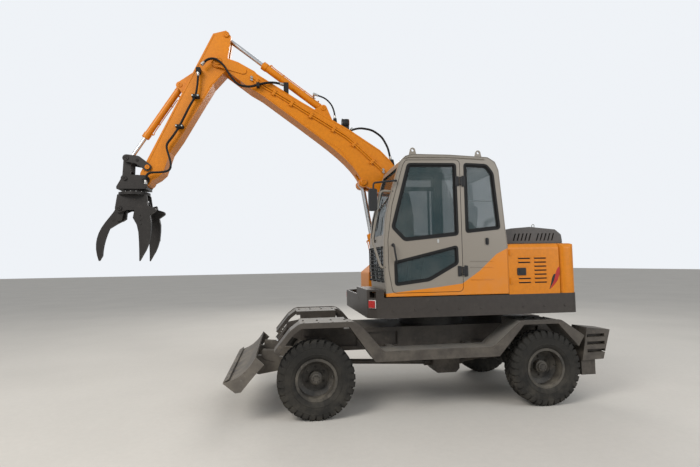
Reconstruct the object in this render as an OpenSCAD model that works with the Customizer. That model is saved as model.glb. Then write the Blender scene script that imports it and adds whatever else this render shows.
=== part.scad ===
// Wheeled excavator with a log and stone grapple, in millimetres.
// The origin is on the ground at the middle of the machine; the front points to -X and the cab is at -Y.

/* [Wheels] */
// Tyre radius to the tips of the lugs
tyre_r = 430; // [415:1:440]
// Tyre width over the sidewalls
tyre_w = 250; // [235:1:260]
// Lugs on each shoulder of a tyre
lugs = 32; // [28:1:33]
// Depth of the grooves between the lugs
groove = 24; // [18:1:28]
// Inner radius of the rim barrel
rim_r = 204; // [195:1:208]
// Rim width over its lips
rim_w = 190; // [180:1:200]
// Height of a rim lip over the barrel
lip_h = 20; // [15:1:24]
// Width over the tyres
over_tyres = 2000; // [1980:2:2060]
// Distance between the two axles
wheelbase = 2680; // [2660:5:2720]
// Front axle behind the origin
front_axle_x = -440; // [-450:1:-430]

/* [Chassis] */
// Half width of the main frame
frame_half = 430; // [420:1:436]
// Underside of the main frame
frame_bottom = 640; // [630:1:650]
// Top of the main frame
frame_top = 900; // [890:1:910]
// Front face of the main frame
frame_front = -560; // [-570:1:-556]
// Rear face of the main frame
frame_rear = 2700; // [2690:1:2710]
// Half width over the side decks
deck_half = 1000; // [990:1:1010]
// Width of a deck step
deck_step = 360; // [330:1:380]
// Thickness of the deck plates
deck_t = 50; // [40:1:55]
// Kingpin inboard of its wheel's middle plane
kingpin_inset = 155; // [150:1:160]
// Radius of the axle tubes
axle_tube_r = 75; // [65:1:80]
// Radius of the differential housing
diff_r = 140; // [130:1:144]
// Outer radius of the slew ring
slew_r = 420; // [400:1:425]
// Slew axis behind the origin
slew_x = 1160; // [1150:1:1170]
// Height of the slew ring gap
slew_z = 1000; // [990:1:1010]

/* [Blade] */
// Width of the dozer blade
blade_w = 2000; // [1960:5:2020]
// Thickness of the moldboard
board_t = 25; // [20:1:30]
// Middle of a blade arm from the middle plane
blade_arm_y = 365; // [360:1:370]
// Width of a blade arm
blade_arm_w = 78; // [70:1:78]

/* [Upper structure] */
// Half width of the upper structure
upper_half = 985; // [970:1:995]
// Underside of the revolving floor
floor_z = 1070; // [1065:1:1080]
// Thickness of the revolving floor
floor_t = 60; // [50:1:65]
// Top edge of the skirt
skirt_top = 1300; // [1290:1:1305]
// Front edge of the front platform
upper_front = 150; // [140:1:160]
// Rear face of the counterweight
upper_rear = 2672; // [2665:1:2685]
// Front face of the counterweight
weight_front = 2449; // [2435:1:2460]
// Top of the side bodywork
body_top = 1890; // [1880:1:1900]
// Thickness of the sheet panels
panel_t = 40; // [30:1:45]
// Louvre rows in a side panel
louvre_rows = 7; // [5:1:8]

/* [Cab] */
// Outer side of the cab
cab_side = 985; // [975:1:995]
// Width of the cab
cab_w = 860; // [850:1:870]
// Thickness of the cab walls
cab_wall = 50; // [45:1:54]
// Thickness of the cab door
door_t = 40; // [36:1:44]
// Gap round the cab door
door_gap = 6; // [5:0.5:8]
// Thickness of the panes
pane_t = 6; // [4:1:8]

/* [Boom and arm] */
// Middle plane of the boom and arm
boom_y = 120; // [115:1:125]
// Width of the boom
boom_w = 300; // [290:1:306]
// Thickness of the fork cheeks at the boom's tip
cheek_t = 22; // [20:1:24]
// Width of the arm
arm_w = 244; // [230:1:246]
// Forward reach from boom foot to arm pivot
boom_reach = 2515; // [2500:5:2530]
// Rise from boom foot to arm pivot
boom_rise = 2750; // [2740:5:2760]
// Radius of the lift cylinder barrel
lift_barrel_r = 55; // [50:1:58]
// Radius of the arm cylinder barrel
arm_barrel_r = 48; // [44:1:52]
// Radius of the tool cylinder barrel
tool_barrel_r = 42; // [38:1:45]

/* [Grapple] */
// Thickness of a tine
tine_t = 56; // [45:1:60]
// Spread of the outer tines from the middle one
tine_spread = 225; // [215:1:235]
// Distance between the jaw pivots
jaw_gap = 290; // [284:1:296]

/* [Hidden] */

amber = "#e0961e";
warm_grey = "#77716a";
chassis_dark = "#3a3632";
near_black = "#1d1d1e";
chrome = "#d8dbe0";
tyre_black = "#262626";

fine = 64;
run_gap = 0.3;
side_gap = 6;

axle_z = tyre_r;
rear_axle_x = front_axle_x + wheelbase;
wheel_y = over_tyres / 2 - tyre_w / 2;
kingpin_y = wheel_y - kingpin_inset;

// Pivots of the working equipment as [x, z]
boom_foot = [slew_x - 260, floor_z + 530];
lift_base = boom_foot + [-365, -300];
lift_eye = boom_foot + [-612, 1175];
arm_pivot = boom_foot + [-boom_reach, boom_rise];
arm_base = boom_foot + [-1133, 2193];
arm_eye = arm_pivot + [110, 375];
tool_base = arm_pivot + [-485, -305];
tool_pin = arm_pivot + [-885, -1565];
rocker_pin = tool_pin + [30, 160];
rod_pin = tool_pin + [-225, 275];
link_pin = tool_pin + [-235, 15];
swing_x = tool_pin[0] - 160;
jaw_z = tool_pin[1] - 355;
jaw_left = [swing_x - jaw_gap / 2, jaw_z];
jaw_right = [swing_x + jaw_gap / 2, jaw_z];
blade_pivot = [frame_front - 40, 520];
blade_base = [frame_front - 154, 874];
blade_eye = [frame_front - 335, 631];

cab_front = 334;
cab_rear = 1810;
cab_bottom = skirt_top + 10;
hood_half = 800;
boom_near = boom_y - boom_w / 2;
boom_far = boom_y + boom_w / 2;
arm_near = boom_y - arm_w / 2;
arm_far = boom_y + arm_w / 2;

// Geometry helpers in the plane of x and z
function ray(a) = [cos(a), sin(a)];
function heading(p, q) = atan2(q[1] - p[1], q[0] - p[0]);
function span(p, q) = norm(q - p);
function toward(p, q, d) = p + d * ray(heading(p, q));
function arc(c, r, a, b, n = 8) = [for (i = [0:n]) c + r * ray(a + (b - a) * i / n)];
function bend(a, b, c, n = 8) =
    [for (i = [0:n]) let (t = i / n) (1 - t) * (1 - t) * a + 2 * t * (1 - t) * b + t * t * c];
function join_lists(lists) = [for (l = lists) for (p = l) p];
function flip(pts) = [for (i = [len(pts) - 1:-1:0]) pts[i]];

// Convex outline round circles given counterclockwise as [x, z, radius]
function tangent_angle(a, b) =
    heading([a[0], a[1]], [b[0], b[1]]) - acos((a[2] - b[2]) / norm([b[0] - a[0], b[1] - a[1]]));
function turn_up(a, b) = b < a - 0.001 ? turn_up(a, b + 360) : (b > a + 360 ? turn_up(a, b - 360) : b);
function belt(cs, n = 6) = join_lists([for (i = [0:len(cs) - 1])
    let (k = len(cs), c = cs[i], a = tangent_angle(cs[(i + k - 1) % k], c), b = tangent_angle(c, cs[(i + 1) % k]))
    arc([c[0], c[1]], c[2], a, turn_up(a, b), n)]);
function disc(p, r) = [p[0], p[1], r];

// Moves every edge of a counterclockwise outline inwards by d, or outwards when d is negative
function edge_normal(p, q) = let (v = (q - p) / norm(q - p)) [-v[1], v[0]];
function inset(pts, d) = let (k = len(pts)) [for (i = [0:k - 1])
    let (m = edge_normal(pts[(i + k - 1) % k], pts[i]), n = edge_normal(pts[i], pts[(i + 1) % k]))
    pts[i] + d * (m + n) / (1 + m * n)];

// Rounds every corner of an outline by r
function round_corner(a, b, c, r, n) =
    let (u = (a - b) / norm(a - b), v = (c - b) / norm(c - b), half = acos(u * v) / 2,
         cut = min(r / tan(half), 0.45 * norm(a - b), 0.45 * norm(c - b)), rr = cut * tan(half),
         m = b + (u + v) / norm(u + v) * rr / sin(half), s = b + u * cut, e = b + v * cut,
         a0 = heading(m, s), d0 = heading(m, e) - a0, d = d0 > 180 ? d0 - 360 : (d0 < -180 ? d0 + 360 : d0))
    arc(m, rr, a0, a0 + d, n);
function rounded(pts, r, n = 4) = let (k = len(pts))
    join_lists([for (i = [0:k - 1]) round_corner(pts[(i + k - 1) % k], pts[i], pts[(i + 1) % k], r, n)]);

// Solid helpers
module slab(pts, y0, y1) {
    translate([0, y1, 0]) rotate([90, 0, 0]) linear_extrude(y1 - y0) polygon(pts);
}
module plate(pts, z0, z1) {
    translate([0, 0, z0]) linear_extrude(z1 - z0) polygon(pts);
}
module box(lo, hi) {
    translate(lo) cube(hi - lo);
}
module pin(p, r, y0, y1) {
    translate([p[0], y1, p[1]]) rotate([90, 0, 0]) cylinder(r = r, h = y1 - y0, $fn = fine);
}
module bar(p, q, r, y) {
    translate([p[0], y, p[1]]) rotate([0, 90 - heading(p, q), 0]) cylinder(r = r, h = span(p, q), $fn = fine);
}
module rod3(p, q, r) {
    d = q - p;
    translate(p) rotate([0, acos(d[2] / norm(d)), atan2(d[1], d[0])]) cylinder(r = r, h = norm(d), $fn = 24);
}
// Bent tube: one ring of points at every station of the path, carried along without twist
function unit(v) = v / norm(v);
function softened(pts, r, n = 3) = let (k = len(pts)) concat([pts[0]],
    join_lists([for (i = [1:k - 2]) let (a = pts[i - 1] - pts[i], b = pts[i + 1] - pts[i])
        bend(pts[i] + unit(a) * min(r, norm(a) * 0.45), pts[i], pts[i] + unit(b) * min(r, norm(b) * 0.45), n)]),
    [pts[k - 1]]);
function tangent(pts, i) = let (k = len(pts)) i == 0 ? unit(pts[1] - pts[0])
    : (i == k - 1 ? unit(pts[k - 1] - pts[k - 2]) : unit(unit(pts[i] - pts[i - 1]) + unit(pts[i + 1] - pts[i])));
function square_to(t, u) = unit(u - t * (u * t));
function carried(pts, i, u) = i == len(pts) ? []
    : let (w = square_to(tangent(pts, i), u)) concat([w], carried(pts, i + 1, w));
module tube(pts, r, sides = 10) {
    k = len(pts);
    t0 = tangent(pts, 0);
    us = carried(pts, 0, abs(t0[1]) < 0.9 ? [0, 1, 0] : [1, 0, 0]);
    rings = [for (i = [0:k - 1]) let (t = tangent(pts, i), w = cross(t, us[i])) for (j = [0:sides - 1])
        pts[i] + r * (cos(360 * j / sides) * us[i] + sin(360 * j / sides) * w)];
    caps = [[for (j = [0:sides - 1]) j], [for (j = [sides - 1:-1:0]) (k - 1) * sides + j]];
    walls = [for (i = [0:k - 2]) for (j = [0:sides - 1])
        let (a = i * sides + j, b = i * sides + (j + 1) % sides) each [[a, a + sides, b], [b, a + sides, b + sides]]];
    polyhedron(rings, concat(caps, walls));
}
module both_sides() {
    children();
    mirror([0, 1, 0]) children();
}
module spun(profile) {
    rotate([-90, 0, 0]) rotate_extrude($fn = 96) polygon(profile);
}

// Hydraulic cylinder: eye at its base, hollow barrel with a gland, and a rod with a closed eye
module barrel_of(base, eye, y, r, reach, bore_r, eye_r, eye_w, pin_r) {
    gland = toward(base, eye, reach);
    difference() {
        union() {
            bar(toward(base, eye, eye_r * 0.6), gland, r, y);
            bar(toward(base, eye, reach - 60), gland, r + 7, y);
            pin(base, eye_r, y - eye_w / 2, y + eye_w / 2);
        }
        bar(toward(base, eye, eye_r + 12), toward(base, eye, reach + 5), bore_r + run_gap, y);
        pin(base, pin_r + run_gap, y - eye_w, y + eye_w);
    }
}
module rod_of(base, eye, y, r, inner, eye_r, eye_w) {
    bar(toward(base, eye, inner), toward(base, eye, span(base, eye) - eye_r * 0.5), r, y);
    pin(eye, eye_r, y - eye_w / 2, y + eye_w / 2);
}

// Chassis
bracket_z = axle_z + 165;
swing_pin_r = 20;
swing_lug_x = [100, 120];
blade_pin_r = 22;
blade_lug_t = 20;
blade_cyl_pin_r = 16;
ear_t = 14;
blade_barrel_r = 32;
base_ear_in = blade_barrel_r + side_gap;
arm_in = blade_arm_y - blade_arm_w / 2;
arm_out = blade_arm_y + blade_arm_w / 2;
pocket_depth = 30;
module main_frame() {
    color(chassis_dark) {
        difference() {
            slab([[frame_front, frame_bottom + 20], [frame_front + 20, frame_bottom],
                  [frame_rear - 60, frame_bottom], [frame_rear, frame_bottom + 40], [frame_rear, frame_top],
                  [frame_front + 80, frame_top], [frame_front + 40, frame_top + 55],
                  [frame_front, frame_top + 55]], -frame_half, frame_half);
            both_sides() for (x = [-300, 200, 1560, 2060])
                box([x, -frame_half - 1, frame_bottom + 50],
                    [x + 400, -frame_half + pocket_depth, frame_top - 50]);
        }
        for (x = [-swing_lug_x[1], swing_lug_x[0]])
            box([front_axle_x + x, -90, bracket_z - 42],
                [front_axle_x + x + swing_lug_x[1] - swing_lug_x[0], 90, frame_bottom + 30]);
        rod3([front_axle_x - swing_lug_x[1] - 15, 0, bracket_z], [front_axle_x + swing_lug_x[1] + 15, 0, bracket_z],
             swing_pin_r);
        both_sides() {
            for (y = [arm_in - side_gap - blade_lug_t, arm_out + side_gap])
                slab(belt([disc(blade_pivot, 52), [frame_front + 120, frame_bottom + 20, 10],
                           [frame_front + 30, frame_top - 140, 10]]), y, y + blade_lug_t);
            pin(blade_pivot, blade_pin_r, arm_in - side_gap - blade_lug_t, arm_out + side_gap + blade_lug_t);
            for (y = [blade_arm_y - base_ear_in - ear_t, blade_arm_y + base_ear_in])
                slab(belt([disc(blade_base, 38), [frame_front + 10, frame_top - 120, 10],
                           [frame_front + 10, frame_top + 30, 10]]), y, y + ear_t);
            pin(blade_base, blade_cyl_pin_r, blade_arm_y - base_ear_in - ear_t, blade_arm_y + base_ear_in + ear_t);
        }
    }
}

// Deck stations along the machine, measured from the two axles
deck_top = frame_top + 142;
beam_low = axle_z + 172;
beam_high = beam_low + 103;
module deck_band(y0, y1) {
    f = front_axle_x;
    r = rear_axle_x;
    slab([[f - 454, axle_z + 315], [f - 415, axle_z + 290], [f - 250, deck_top - deck_t - 65],
          [f - 160, deck_top - deck_t], [f + 371, deck_top - deck_t], [f + 654, beam_low],
          [r - 582, beam_low], [r - 270, deck_top - 94], [r + 160, deck_top - 94],
          [r + 405, axle_z + 246], [r + 475, axle_z + 360], [r + 192, deck_top - 57], [r - 300, deck_top - 57],
          [r - 642, beam_high], [f + 740, beam_high], [f + 500, deck_top - 52], [f + 420, deck_top],
          [f - 174, deck_top], [f - 282, deck_top - 80]], y0, y1);
}
module side_deck() {
    deck_in = deck_half - deck_step;
    deck_band(-deck_half, -deck_in);
    box([front_axle_x - 174, -deck_in, deck_top - deck_t], [front_axle_x + 371, -frame_half, deck_top]);
    box([front_axle_x - 121, -frame_half - 40, frame_top - 60], [front_axle_x + 371, -frame_half, deck_top]);
    box([rear_axle_x - 270, -deck_in, deck_top - 94], [rear_axle_x + 160, -frame_half, deck_top - 57]);
    box([rear_axle_x - 270, -frame_half - 40, frame_top - 60], [rear_axle_x + 160, -frame_half, deck_top - 57]);
    for (x = [front_axle_x + 880, rear_axle_x - 820])
        box([x, -deck_in, beam_high - 80], [x + 80, -frame_half, beam_high - 10]);
}
module side_decks() {
    color(chassis_dark) both_sides() side_deck();
}

step_in = deck_half - deck_step - 4;
step_out = 930;
module rear_steps() {
    x = frame_rear;
    color(chassis_dark) {
        box([x, -step_in, frame_bottom - 80], [x + 90, step_in, frame_top - 100]);
        both_sides() {
            difference() {
                slab([[x + 29, axle_z + 60], [x + 305, axle_z + 71], [x + 404, axle_z + 414],
                      [x + 103, axle_z + 448]], -step_out, -step_in);
                for (z = [axle_z + 150, axle_z + 240, axle_z + 330])
                    box([x + 100, -step_out - 1, z], [x + 330, -step_out + 60, z + 40]);
            }
            box([x + 33, -step_out + 30, axle_z - 113], [x + 212, -step_in - 30, axle_z + 64]);
        }
    }
}

yoke_in = kingpin_y - 124;
yoke_wall = 30;
yoke_x = 42;
yoke_top = 120;
yoke_arm_t = 30;
kingpin_r = 18;
spindle_r = 45;
drum_r = 95;
drum_y = wheel_y - rim_w / 2 - 5;
spindle_end = wheel_y - 12;
nose_x = 190;
module axle_body(half) {
    translate([0, 0, axle_z])
        spun([[0, -half], [axle_tube_r, -half], [axle_tube_r, -220], [diff_r, -110], [diff_r, 110],
              [axle_tube_r, 220], [axle_tube_r, half], [0, half]]);
}
module front_axle() {
    color(near_black) translate([front_axle_x, 0, 0]) {
        axle_body(yoke_in + 5);
        rod3([0, 0, axle_z], [nose_x, 0, axle_z], 60);
        difference() {
            box([-swing_lug_x[0] + 3, -60, axle_z], [swing_lug_x[0] - 3, 60, bracket_z]);
            rod3([-200, 0, bracket_z], [200, 0, bracket_z], swing_pin_r + run_gap);
        }
        difference() {
            rod3([-swing_lug_x[0] + 3, 0, bracket_z], [swing_lug_x[0] - 3, 0, bracket_z], 40);
            rod3([-200, 0, bracket_z], [200, 0, bracket_z], swing_pin_r + run_gap);
        }
        both_sides() {
            box([-yoke_x, -yoke_in - yoke_wall, axle_z - yoke_top - yoke_arm_t],
                [yoke_x, -yoke_in, axle_z + yoke_top + yoke_arm_t]);
            for (s = [-1, 1]) {
                box([-55, -kingpin_y - 40, axle_z + s * (yoke_top + yoke_arm_t / 2) - yoke_arm_t / 2],
                    [55, -yoke_in - 5, axle_z + s * (yoke_top + yoke_arm_t / 2) + yoke_arm_t / 2]);
                translate([0, -kingpin_y, axle_z + s * 75 - (s < 0 ? yoke_top - 75 + 2 : 0)])
                    cylinder(r = kingpin_r, h = yoke_top - 75 + 2, $fn = fine);
            }
        }
        for (y = [-200, 180])
            difference() {
                box([0, y, steer_z - 50], [steer_x + 45, y + 20, axle_z]);
                rod3([steer_x, -300, steer_z], [steer_x, 300, steer_z], steer_barrel_r);
            }
    }
}
module rear_axle() {
    color(near_black) translate([rear_axle_x, 0, 0]) {
        axle_body(drum_y - 120);
        rod3([-nose_x, 0, axle_z], [0, 0, axle_z], 60);
        both_sides() {
            box([-110, -frame_half + 30, axle_z], [110, -frame_half + 180, frame_bottom]);
            rod3([0, -drum_y, axle_z], [0, -drum_y + 125, axle_z], drum_r);
            rod3([0, -spindle_end, axle_z], [0, -drum_y, axle_z], spindle_r);
        }
    }
}

steer_x = 150;
steer_z = axle_z - 115;
steer_barrel_r = 35;
steer_rod_r = 18;
steer_arm_in = 60;
knuckle_x = 50;
knuckle_half = yoke_top - side_gap;
module knuckle() {
    translate([front_axle_x, 0, 0]) {
        difference() {
            union() {
                box([-knuckle_x, -kingpin_y - 30, axle_z - knuckle_half],
                    [knuckle_x, -kingpin_y + 30, axle_z + knuckle_half]);
                rod3([0, -drum_y, axle_z], [0, -kingpin_y - 25, axle_z], drum_r);
                rod3([0, -spindle_end, axle_z], [0, -drum_y, axle_z], spindle_r);
                plate(belt([[0, -kingpin_y, 22], [steer_x, -kingpin_y + steer_arm_in, 22]]),
                      axle_z - 90, axle_z - 68);
            }
            for (s = [-1, 1])
                translate([0, -kingpin_y, axle_z + s * 70 - (s < 0 ? knuckle_half : 0)])
                    cylinder(r = kingpin_r + run_gap, h = knuckle_half, $fn = fine);
        }
    }
}
module left_knuckle() {
    color(near_black) knuckle();
}
module right_knuckle() {
    color(near_black) mirror([0, 1, 0]) knuckle();
}
module steering_cylinder() {
    color(near_black) difference() {
        rod3([front_axle_x + steer_x, -230, steer_z], [front_axle_x + steer_x, 230, steer_z], steer_barrel_r);
        rod3([front_axle_x + steer_x, -240, steer_z], [front_axle_x + steer_x, 240, steer_z],
             steer_rod_r + run_gap);
    }
}
module steering_rod() {
    end = kingpin_y - steer_arm_in;
    color(chrome) {
        rod3([front_axle_x + steer_x, -end, steer_z], [front_axle_x + steer_x, end, steer_z], steer_rod_r);
        both_sides() translate([front_axle_x + steer_x, -end, steer_z - 18]) cylinder(r = 28, h = 36, $fn = fine);
    }
}

gearbox_x = [slew_x - 20, slew_x + 330];
gearbox_z = axle_z - 180;
shaft_z = gearbox_z + 120;
module drive_line() {
    joint_r = 50;
    joint_l = 80;
    tube_r = 32;
    color(near_black) {
        slab([[gearbox_x[0], shaft_z + 60], [gearbox_x[0], shaft_z - 70], [gearbox_x[0] + 50, gearbox_z],
              [gearbox_x[1] - 50, gearbox_z], [gearbox_x[1], shaft_z - 70], [gearbox_x[1], shaft_z + 60],
              [gearbox_x[1] - 40, frame_bottom], [gearbox_x[0] + 40, frame_bottom]], -170, 170);
        // Each shaft as [x of the axle's nose, x of the gearbox face, direction from nose to gearbox]
        for (s = [[front_axle_x + nose_x, gearbox_x[0], 1], [rear_axle_x - nose_x, gearbox_x[1], -1]]) {
            rod3([s[0], 0, axle_z], [s[0] + s[2] * joint_l, 0, axle_z], joint_r);
            rod3([s[1] - s[2] * joint_l, 0, shaft_z], [s[1] + s[2] * 10, 0, shaft_z], joint_r);
            bar([s[0] + s[2] * (joint_l - 5), axle_z], [s[1] - s[2] * (joint_l - 5), shaft_z], tube_r, 0);
        }
    }
}

// Wheels: profiles are [radius, distance outwards from the wheel's middle plane]
rim_out_r = rim_r + 8;
lip_r = rim_out_r + lip_h;
module wheel_at(x, side) {
    translate([x, side * wheel_y, axle_z]) if (side < 0) mirror([0, 1, 0]) children(); else children();
}
module rim() {
    disc_y = -rim_w / 2 + 7;
    color(near_black) {
        spun([[rim_r, -rim_w / 2], [lip_r, -rim_w / 2], [lip_r, -rim_w / 2 + 8], [rim_out_r, -rim_w / 2 + 8],
              [rim_out_r, rim_w / 2 - 8], [lip_r, rim_w / 2 - 8], [lip_r, rim_w / 2], [rim_r, rim_w / 2],
              [rim_r, disc_y + 38], [153, disc_y + 10], [72, disc_y + 10], [72, -10], [55, -2], [55, 20],
              [45, 26], [0, 26], [0, -10], [spindle_r + run_gap, -10], [spindle_r + run_gap, disc_y],
              [153, disc_y], [rim_r, disc_y + 26]]);
        for (i = [0:5]) rotate([0, 30 + 60 * i, 0]) translate([105, disc_y + 22, 0]) rotate([90, 0, 0])
            cylinder(r = 15, h = 14, $fn = 6);
    }
}
// Tyre as one closed skin. Both shoulders share 2 * lugs stations round the wheel, and a lug on one side
// stands beside a groove on the other. A station holds 7 points for the near side and then 7 for the far one:
// 0 seat, 1 lip, 2 bulge, 3 shoulder, 4 top of a lug's shoulder, 5 crown of a lug and 6 trough beside it.
function tyre_side() = let (half = tyre_w / 2, slack = 1 / cos(180 / lugs), bead = rim_w / 2 - 8 - run_gap)
    [[(rim_out_r + run_gap) * slack, bead], [(lip_r + run_gap) * slack, bead], [tyre_r - 105, half],
     [tyre_r - 62, half - 6], [tyre_r, half - 34], [tyre_r, 12], [tyre_r - groove, 12]];
function tyre_points() = [for (i = [0:2 * lugs - 1]) let (u = ray(-90 + 180 * i / lugs))
    for (s = [-1, 1]) for (q = tyre_side()) [q[0] * u[0], s * q[1], q[0] * u[1]]];
function turned(side, face) = side == 0 ? face : flip(face);
module tyre() {
    n = 2 * lugs;
    at = function (i, k) (i % n) * 14 + k;
    // Faces are written for the near side and turned over for the far one
    sidewall = [for (s = [0, 1]) for (i = [0:2:n - 1]) let (o = 7 * s, j = i + 2)
        each [for (f = [[at(i, o), at(j, o), at(j, o + 1), at(i, o + 1)],
                        [at(i, o + 1), at(j, o + 1), at(j, o + 2), at(i, o + 2)],
                        [at(i, o + 2), at(i + 1, o + 3), at(i, o + 3)],
                        [at(i, o + 2), at(j, o + 2), at(i + 1, o + 3)],
                        [at(j, o + 2), at(j, o + 3), at(i + 1, o + 3)]]) turned(s, f)]];
    tread = [for (s = [0, 1]) for (i = [0:n - 1]) let (o = 7 * s, j = i + 1, lug = (i + s) % 2 == 0,
        flank = [at(i, o + 3), at(i, o + 4), at(i, o + 5), at(i, o + 6)])
        each [for (f = concat([lug ? flank : flip(flank)], lug
            ? [[at(i, o + 3), at(j, o + 3), at(j, o + 4), at(i, o + 4)],
               [at(i, o + 4), at(j, o + 4), at(j, o + 5), at(i, o + 5)],
               [at(i, o + 5), at(j, o + 5), at(j, o + 6), at(i, o + 6)]]
            : [[at(i, o + 3), at(j, o + 3), at(j, o + 6), at(i, o + 6)]])) turned(s, f)]];
    middle = [for (i = [0:n - 1]) [at(i, 6), at(i + 1, 6), at(i + 1, 13), at(i, 13)]];
    seat = [for (i = [0:2:n - 1]) [at(i, 0), at(i, 7), at(i + 2, 7), at(i + 2, 0)]];
    color(tyre_black) polyhedron(tyre_points(), concat(sidewall, tread, middle, seat));
}
module front_left_rim() { wheel_at(front_axle_x, -1) rim(); }
module front_right_rim() { wheel_at(front_axle_x, 1) rim(); }
module rear_left_rim() { wheel_at(rear_axle_x, -1) rim(); }
module rear_right_rim() { wheel_at(rear_axle_x, 1) rim(); }
module front_left_tyre() { wheel_at(front_axle_x, -1) tyre(); }
module front_right_tyre() { wheel_at(front_axle_x, 1) tyre(); }
module rear_left_tyre() { wheel_at(rear_axle_x, -1) tyre(); }
module rear_right_tyre() { wheel_at(rear_axle_x, 1) tyre(); }

// Dozer blade, raised
toe = blade_pivot + [-829, -65];
crest = blade_pivot + [-488, 191];
module blade() {
    p = blade_pivot;
    front = bend(toe, p + [-600, -20], crest);
    back = bend(p + [-482, 165], p + [-580, -30], p + [-790, -86]);
    color(chassis_dark) {
        difference() {
            union() {
                slab(concat(front, back), -blade_w / 2 + 20, blade_w / 2 - 20);
                both_sides() slab(concat(front, [p + [-400, 109], p + [-536, -41], p + [-640, -165],
                                                 p + [-700, -172]]), -blade_w / 2, -blade_w / 2 + board_t);
                slab([p + [-535, -30], p + [-600, -75], p + [-640, -160], p + [-690, -165], p + [-740, -85],
                      p + [-600, -20]], -blade_w / 2 + 20, blade_w / 2 - 20);
                both_sides() slab(belt([disc(p, 48), p_disc(p, [-490, 80], 20), p_disc(p, [-585, -40], 40),
                                        p_disc(p, [-480, -90], 30)]), -arm_out, -arm_in);
            }
            both_sides() pin(p, blade_pin_r + run_gap, arm_in - 10, arm_out + 10);
        }
        both_sides() for (y = [blade_arm_y - 25 - ear_t, blade_arm_y + 25])
            slab(belt([disc(blade_eye, 40), p_disc(p, [-430, 150], 14), p_disc(p, [-440, 20], 20),
                       p_disc(p, [-240, 20], 14)]), -y - ear_t, -y);
    }
}
function p_disc(p, v, r) = [p[0] + v[0], p[1] + v[1], r];
blade_rod_r = 18;
module blade_barrels() {
    color(chassis_dark) for (s = [-1, 1])
        barrel_of(blade_base, blade_eye, s * blade_arm_y, blade_barrel_r, 235, blade_rod_r, 30, 38, blade_cyl_pin_r);
}
module blade_rods() {
    color(chrome) for (s = [-1, 1])
        rod_of(blade_base, blade_eye, s * blade_arm_y, blade_rod_r, 53, 26, 38);
}

module slew_ring() {
    color(near_black) difference() {
        translate([slew_x, 0, frame_top]) cylinder(r = slew_r, h = slew_z - frame_top, $fn = 96);
        translate([slew_x, 0, frame_top - 1]) cylinder(r = slew_r - 90, h = slew_z - frame_top + 2, $fn = 96);
    }
}

// Upper structure
floor_top = floor_z + floor_t;
function upper_plan(d) = rounded([[upper_front + d, -upper_half + 110 + d], [upper_front + 110 + d, -upper_half + d],
    [upper_rear - d, -upper_half + d], [upper_rear - d, upper_half - d], [upper_front + 110 + d, upper_half - d],
    [upper_front + d, upper_half - 110 - d]], 70, 4);
bracket_t = 30;
bracket_near = boom_near - side_gap - bracket_t;
bracket_far = boom_far + side_gap;
boom_pin_r = 45;
lift_pin_r = 30;
module upper_frame() {
    color(chassis_dark) {
        plate(upper_plan(0), floor_z, floor_top);
        difference() {
            translate([slew_x, 0, slew_z + run_gap]) cylinder(r = slew_r, h = floor_z - slew_z, $fn = 96);
            translate([slew_x, 0, slew_z]) cylinder(r = slew_r - 90, h = floor_z - slew_z, $fn = 96);
        }
        for (y = [bracket_near, bracket_far])
            slab(concat([[lift_base[0] - 65, floor_top - 5], [boom_foot[0] + 600, floor_top - 5],
                         [boom_foot[0] + 480, floor_top + 150]], arc(boom_foot, 105, 30, 150),
                        arc(lift_base, 75, 90, 190)), y, y + bracket_t);
        pin(boom_foot, boom_pin_r, bracket_near - 12, bracket_far + bracket_t + 12);
        pin(lift_base, lift_pin_r, bracket_near - 12, bracket_far + bracket_t + 12);
        for (x = [cab_front + 120, cab_rear - 140]) for (y = [-cab_side + 130, -cab_side + cab_w - 130])
            translate([x, y, floor_top - 5]) cylinder(r = 45, h = cab_bottom - floor_top + 5, $fn = fine);
    }
}
skirt_t = 25;
module skirt() {
    color(chassis_dark) {
        difference() {
            plate(upper_plan(0), floor_top, skirt_top);
            plate(upper_plan(skirt_t), floor_top - 1, skirt_top + 1);
        }
        difference() {
            intersection() {
                plate(upper_plan(0), skirt_top, skirt_top + 90);
                box([upper_front, -upper_half, skirt_top], [cab_front - 10, -cab_side + cab_w, skirt_top + 90]);
            }
            box([upper_front + skirt_t, -upper_half + skirt_t, skirt_top - 1],
                [cab_front + 1, -cab_side + cab_w - skirt_t, skirt_top + 70]);
        }
    }
}

weight_r = 90;
top_fillet = 65;
// Cross-section of the bodywork as [y, z], rounded at its shoulder
function shoulder(side, z0, z1, r) = concat([[-side, z0]], arc([-side + r, z1 - r], r, 180, 90, 5));
module across(pts, x0, x1) {
    translate([x0, 0, 0]) rotate([90, 0, 90]) linear_extrude(x1 - x0) polygon(pts);
}
module counterweight() {
    z0 = skirt_top;
    plan = rounded([[weight_front, -upper_half], [upper_rear, -upper_half], [upper_rear, upper_half],
                    [weight_front, upper_half]], weight_r, 6);
    color(chassis_dark) difference() {
        intersection() {
            plate(plan, z0, body_top);
            across(concat(shoulder(upper_half, z0, body_top, top_fillet),
                          [for (p = flip(shoulder(upper_half, z0, body_top, top_fillet))) [-p[0], p[1]]]),
                   weight_front, upper_rear + 1);
            slab(concat([[weight_front - 1, z0], [upper_rear, z0]],
                        arc([upper_rear - top_fillet, body_top - top_fillet], top_fillet, 0, 90, 5),
                        [[weight_front - 1, body_top]]), -upper_half, upper_half);
            box([weight_front + 0, -upper_half, z0], [upper_rear + 1, upper_half, body_top + 1]);
        }
        box([weight_front - 1, -upper_half + 300, z0 - 1], [weight_front + 110, upper_half - 300, body_top + 1]);
    }
}
louvre_w = 150;
louvre_pitch = 47;
louvre_z = skirt_top + 125;
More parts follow.
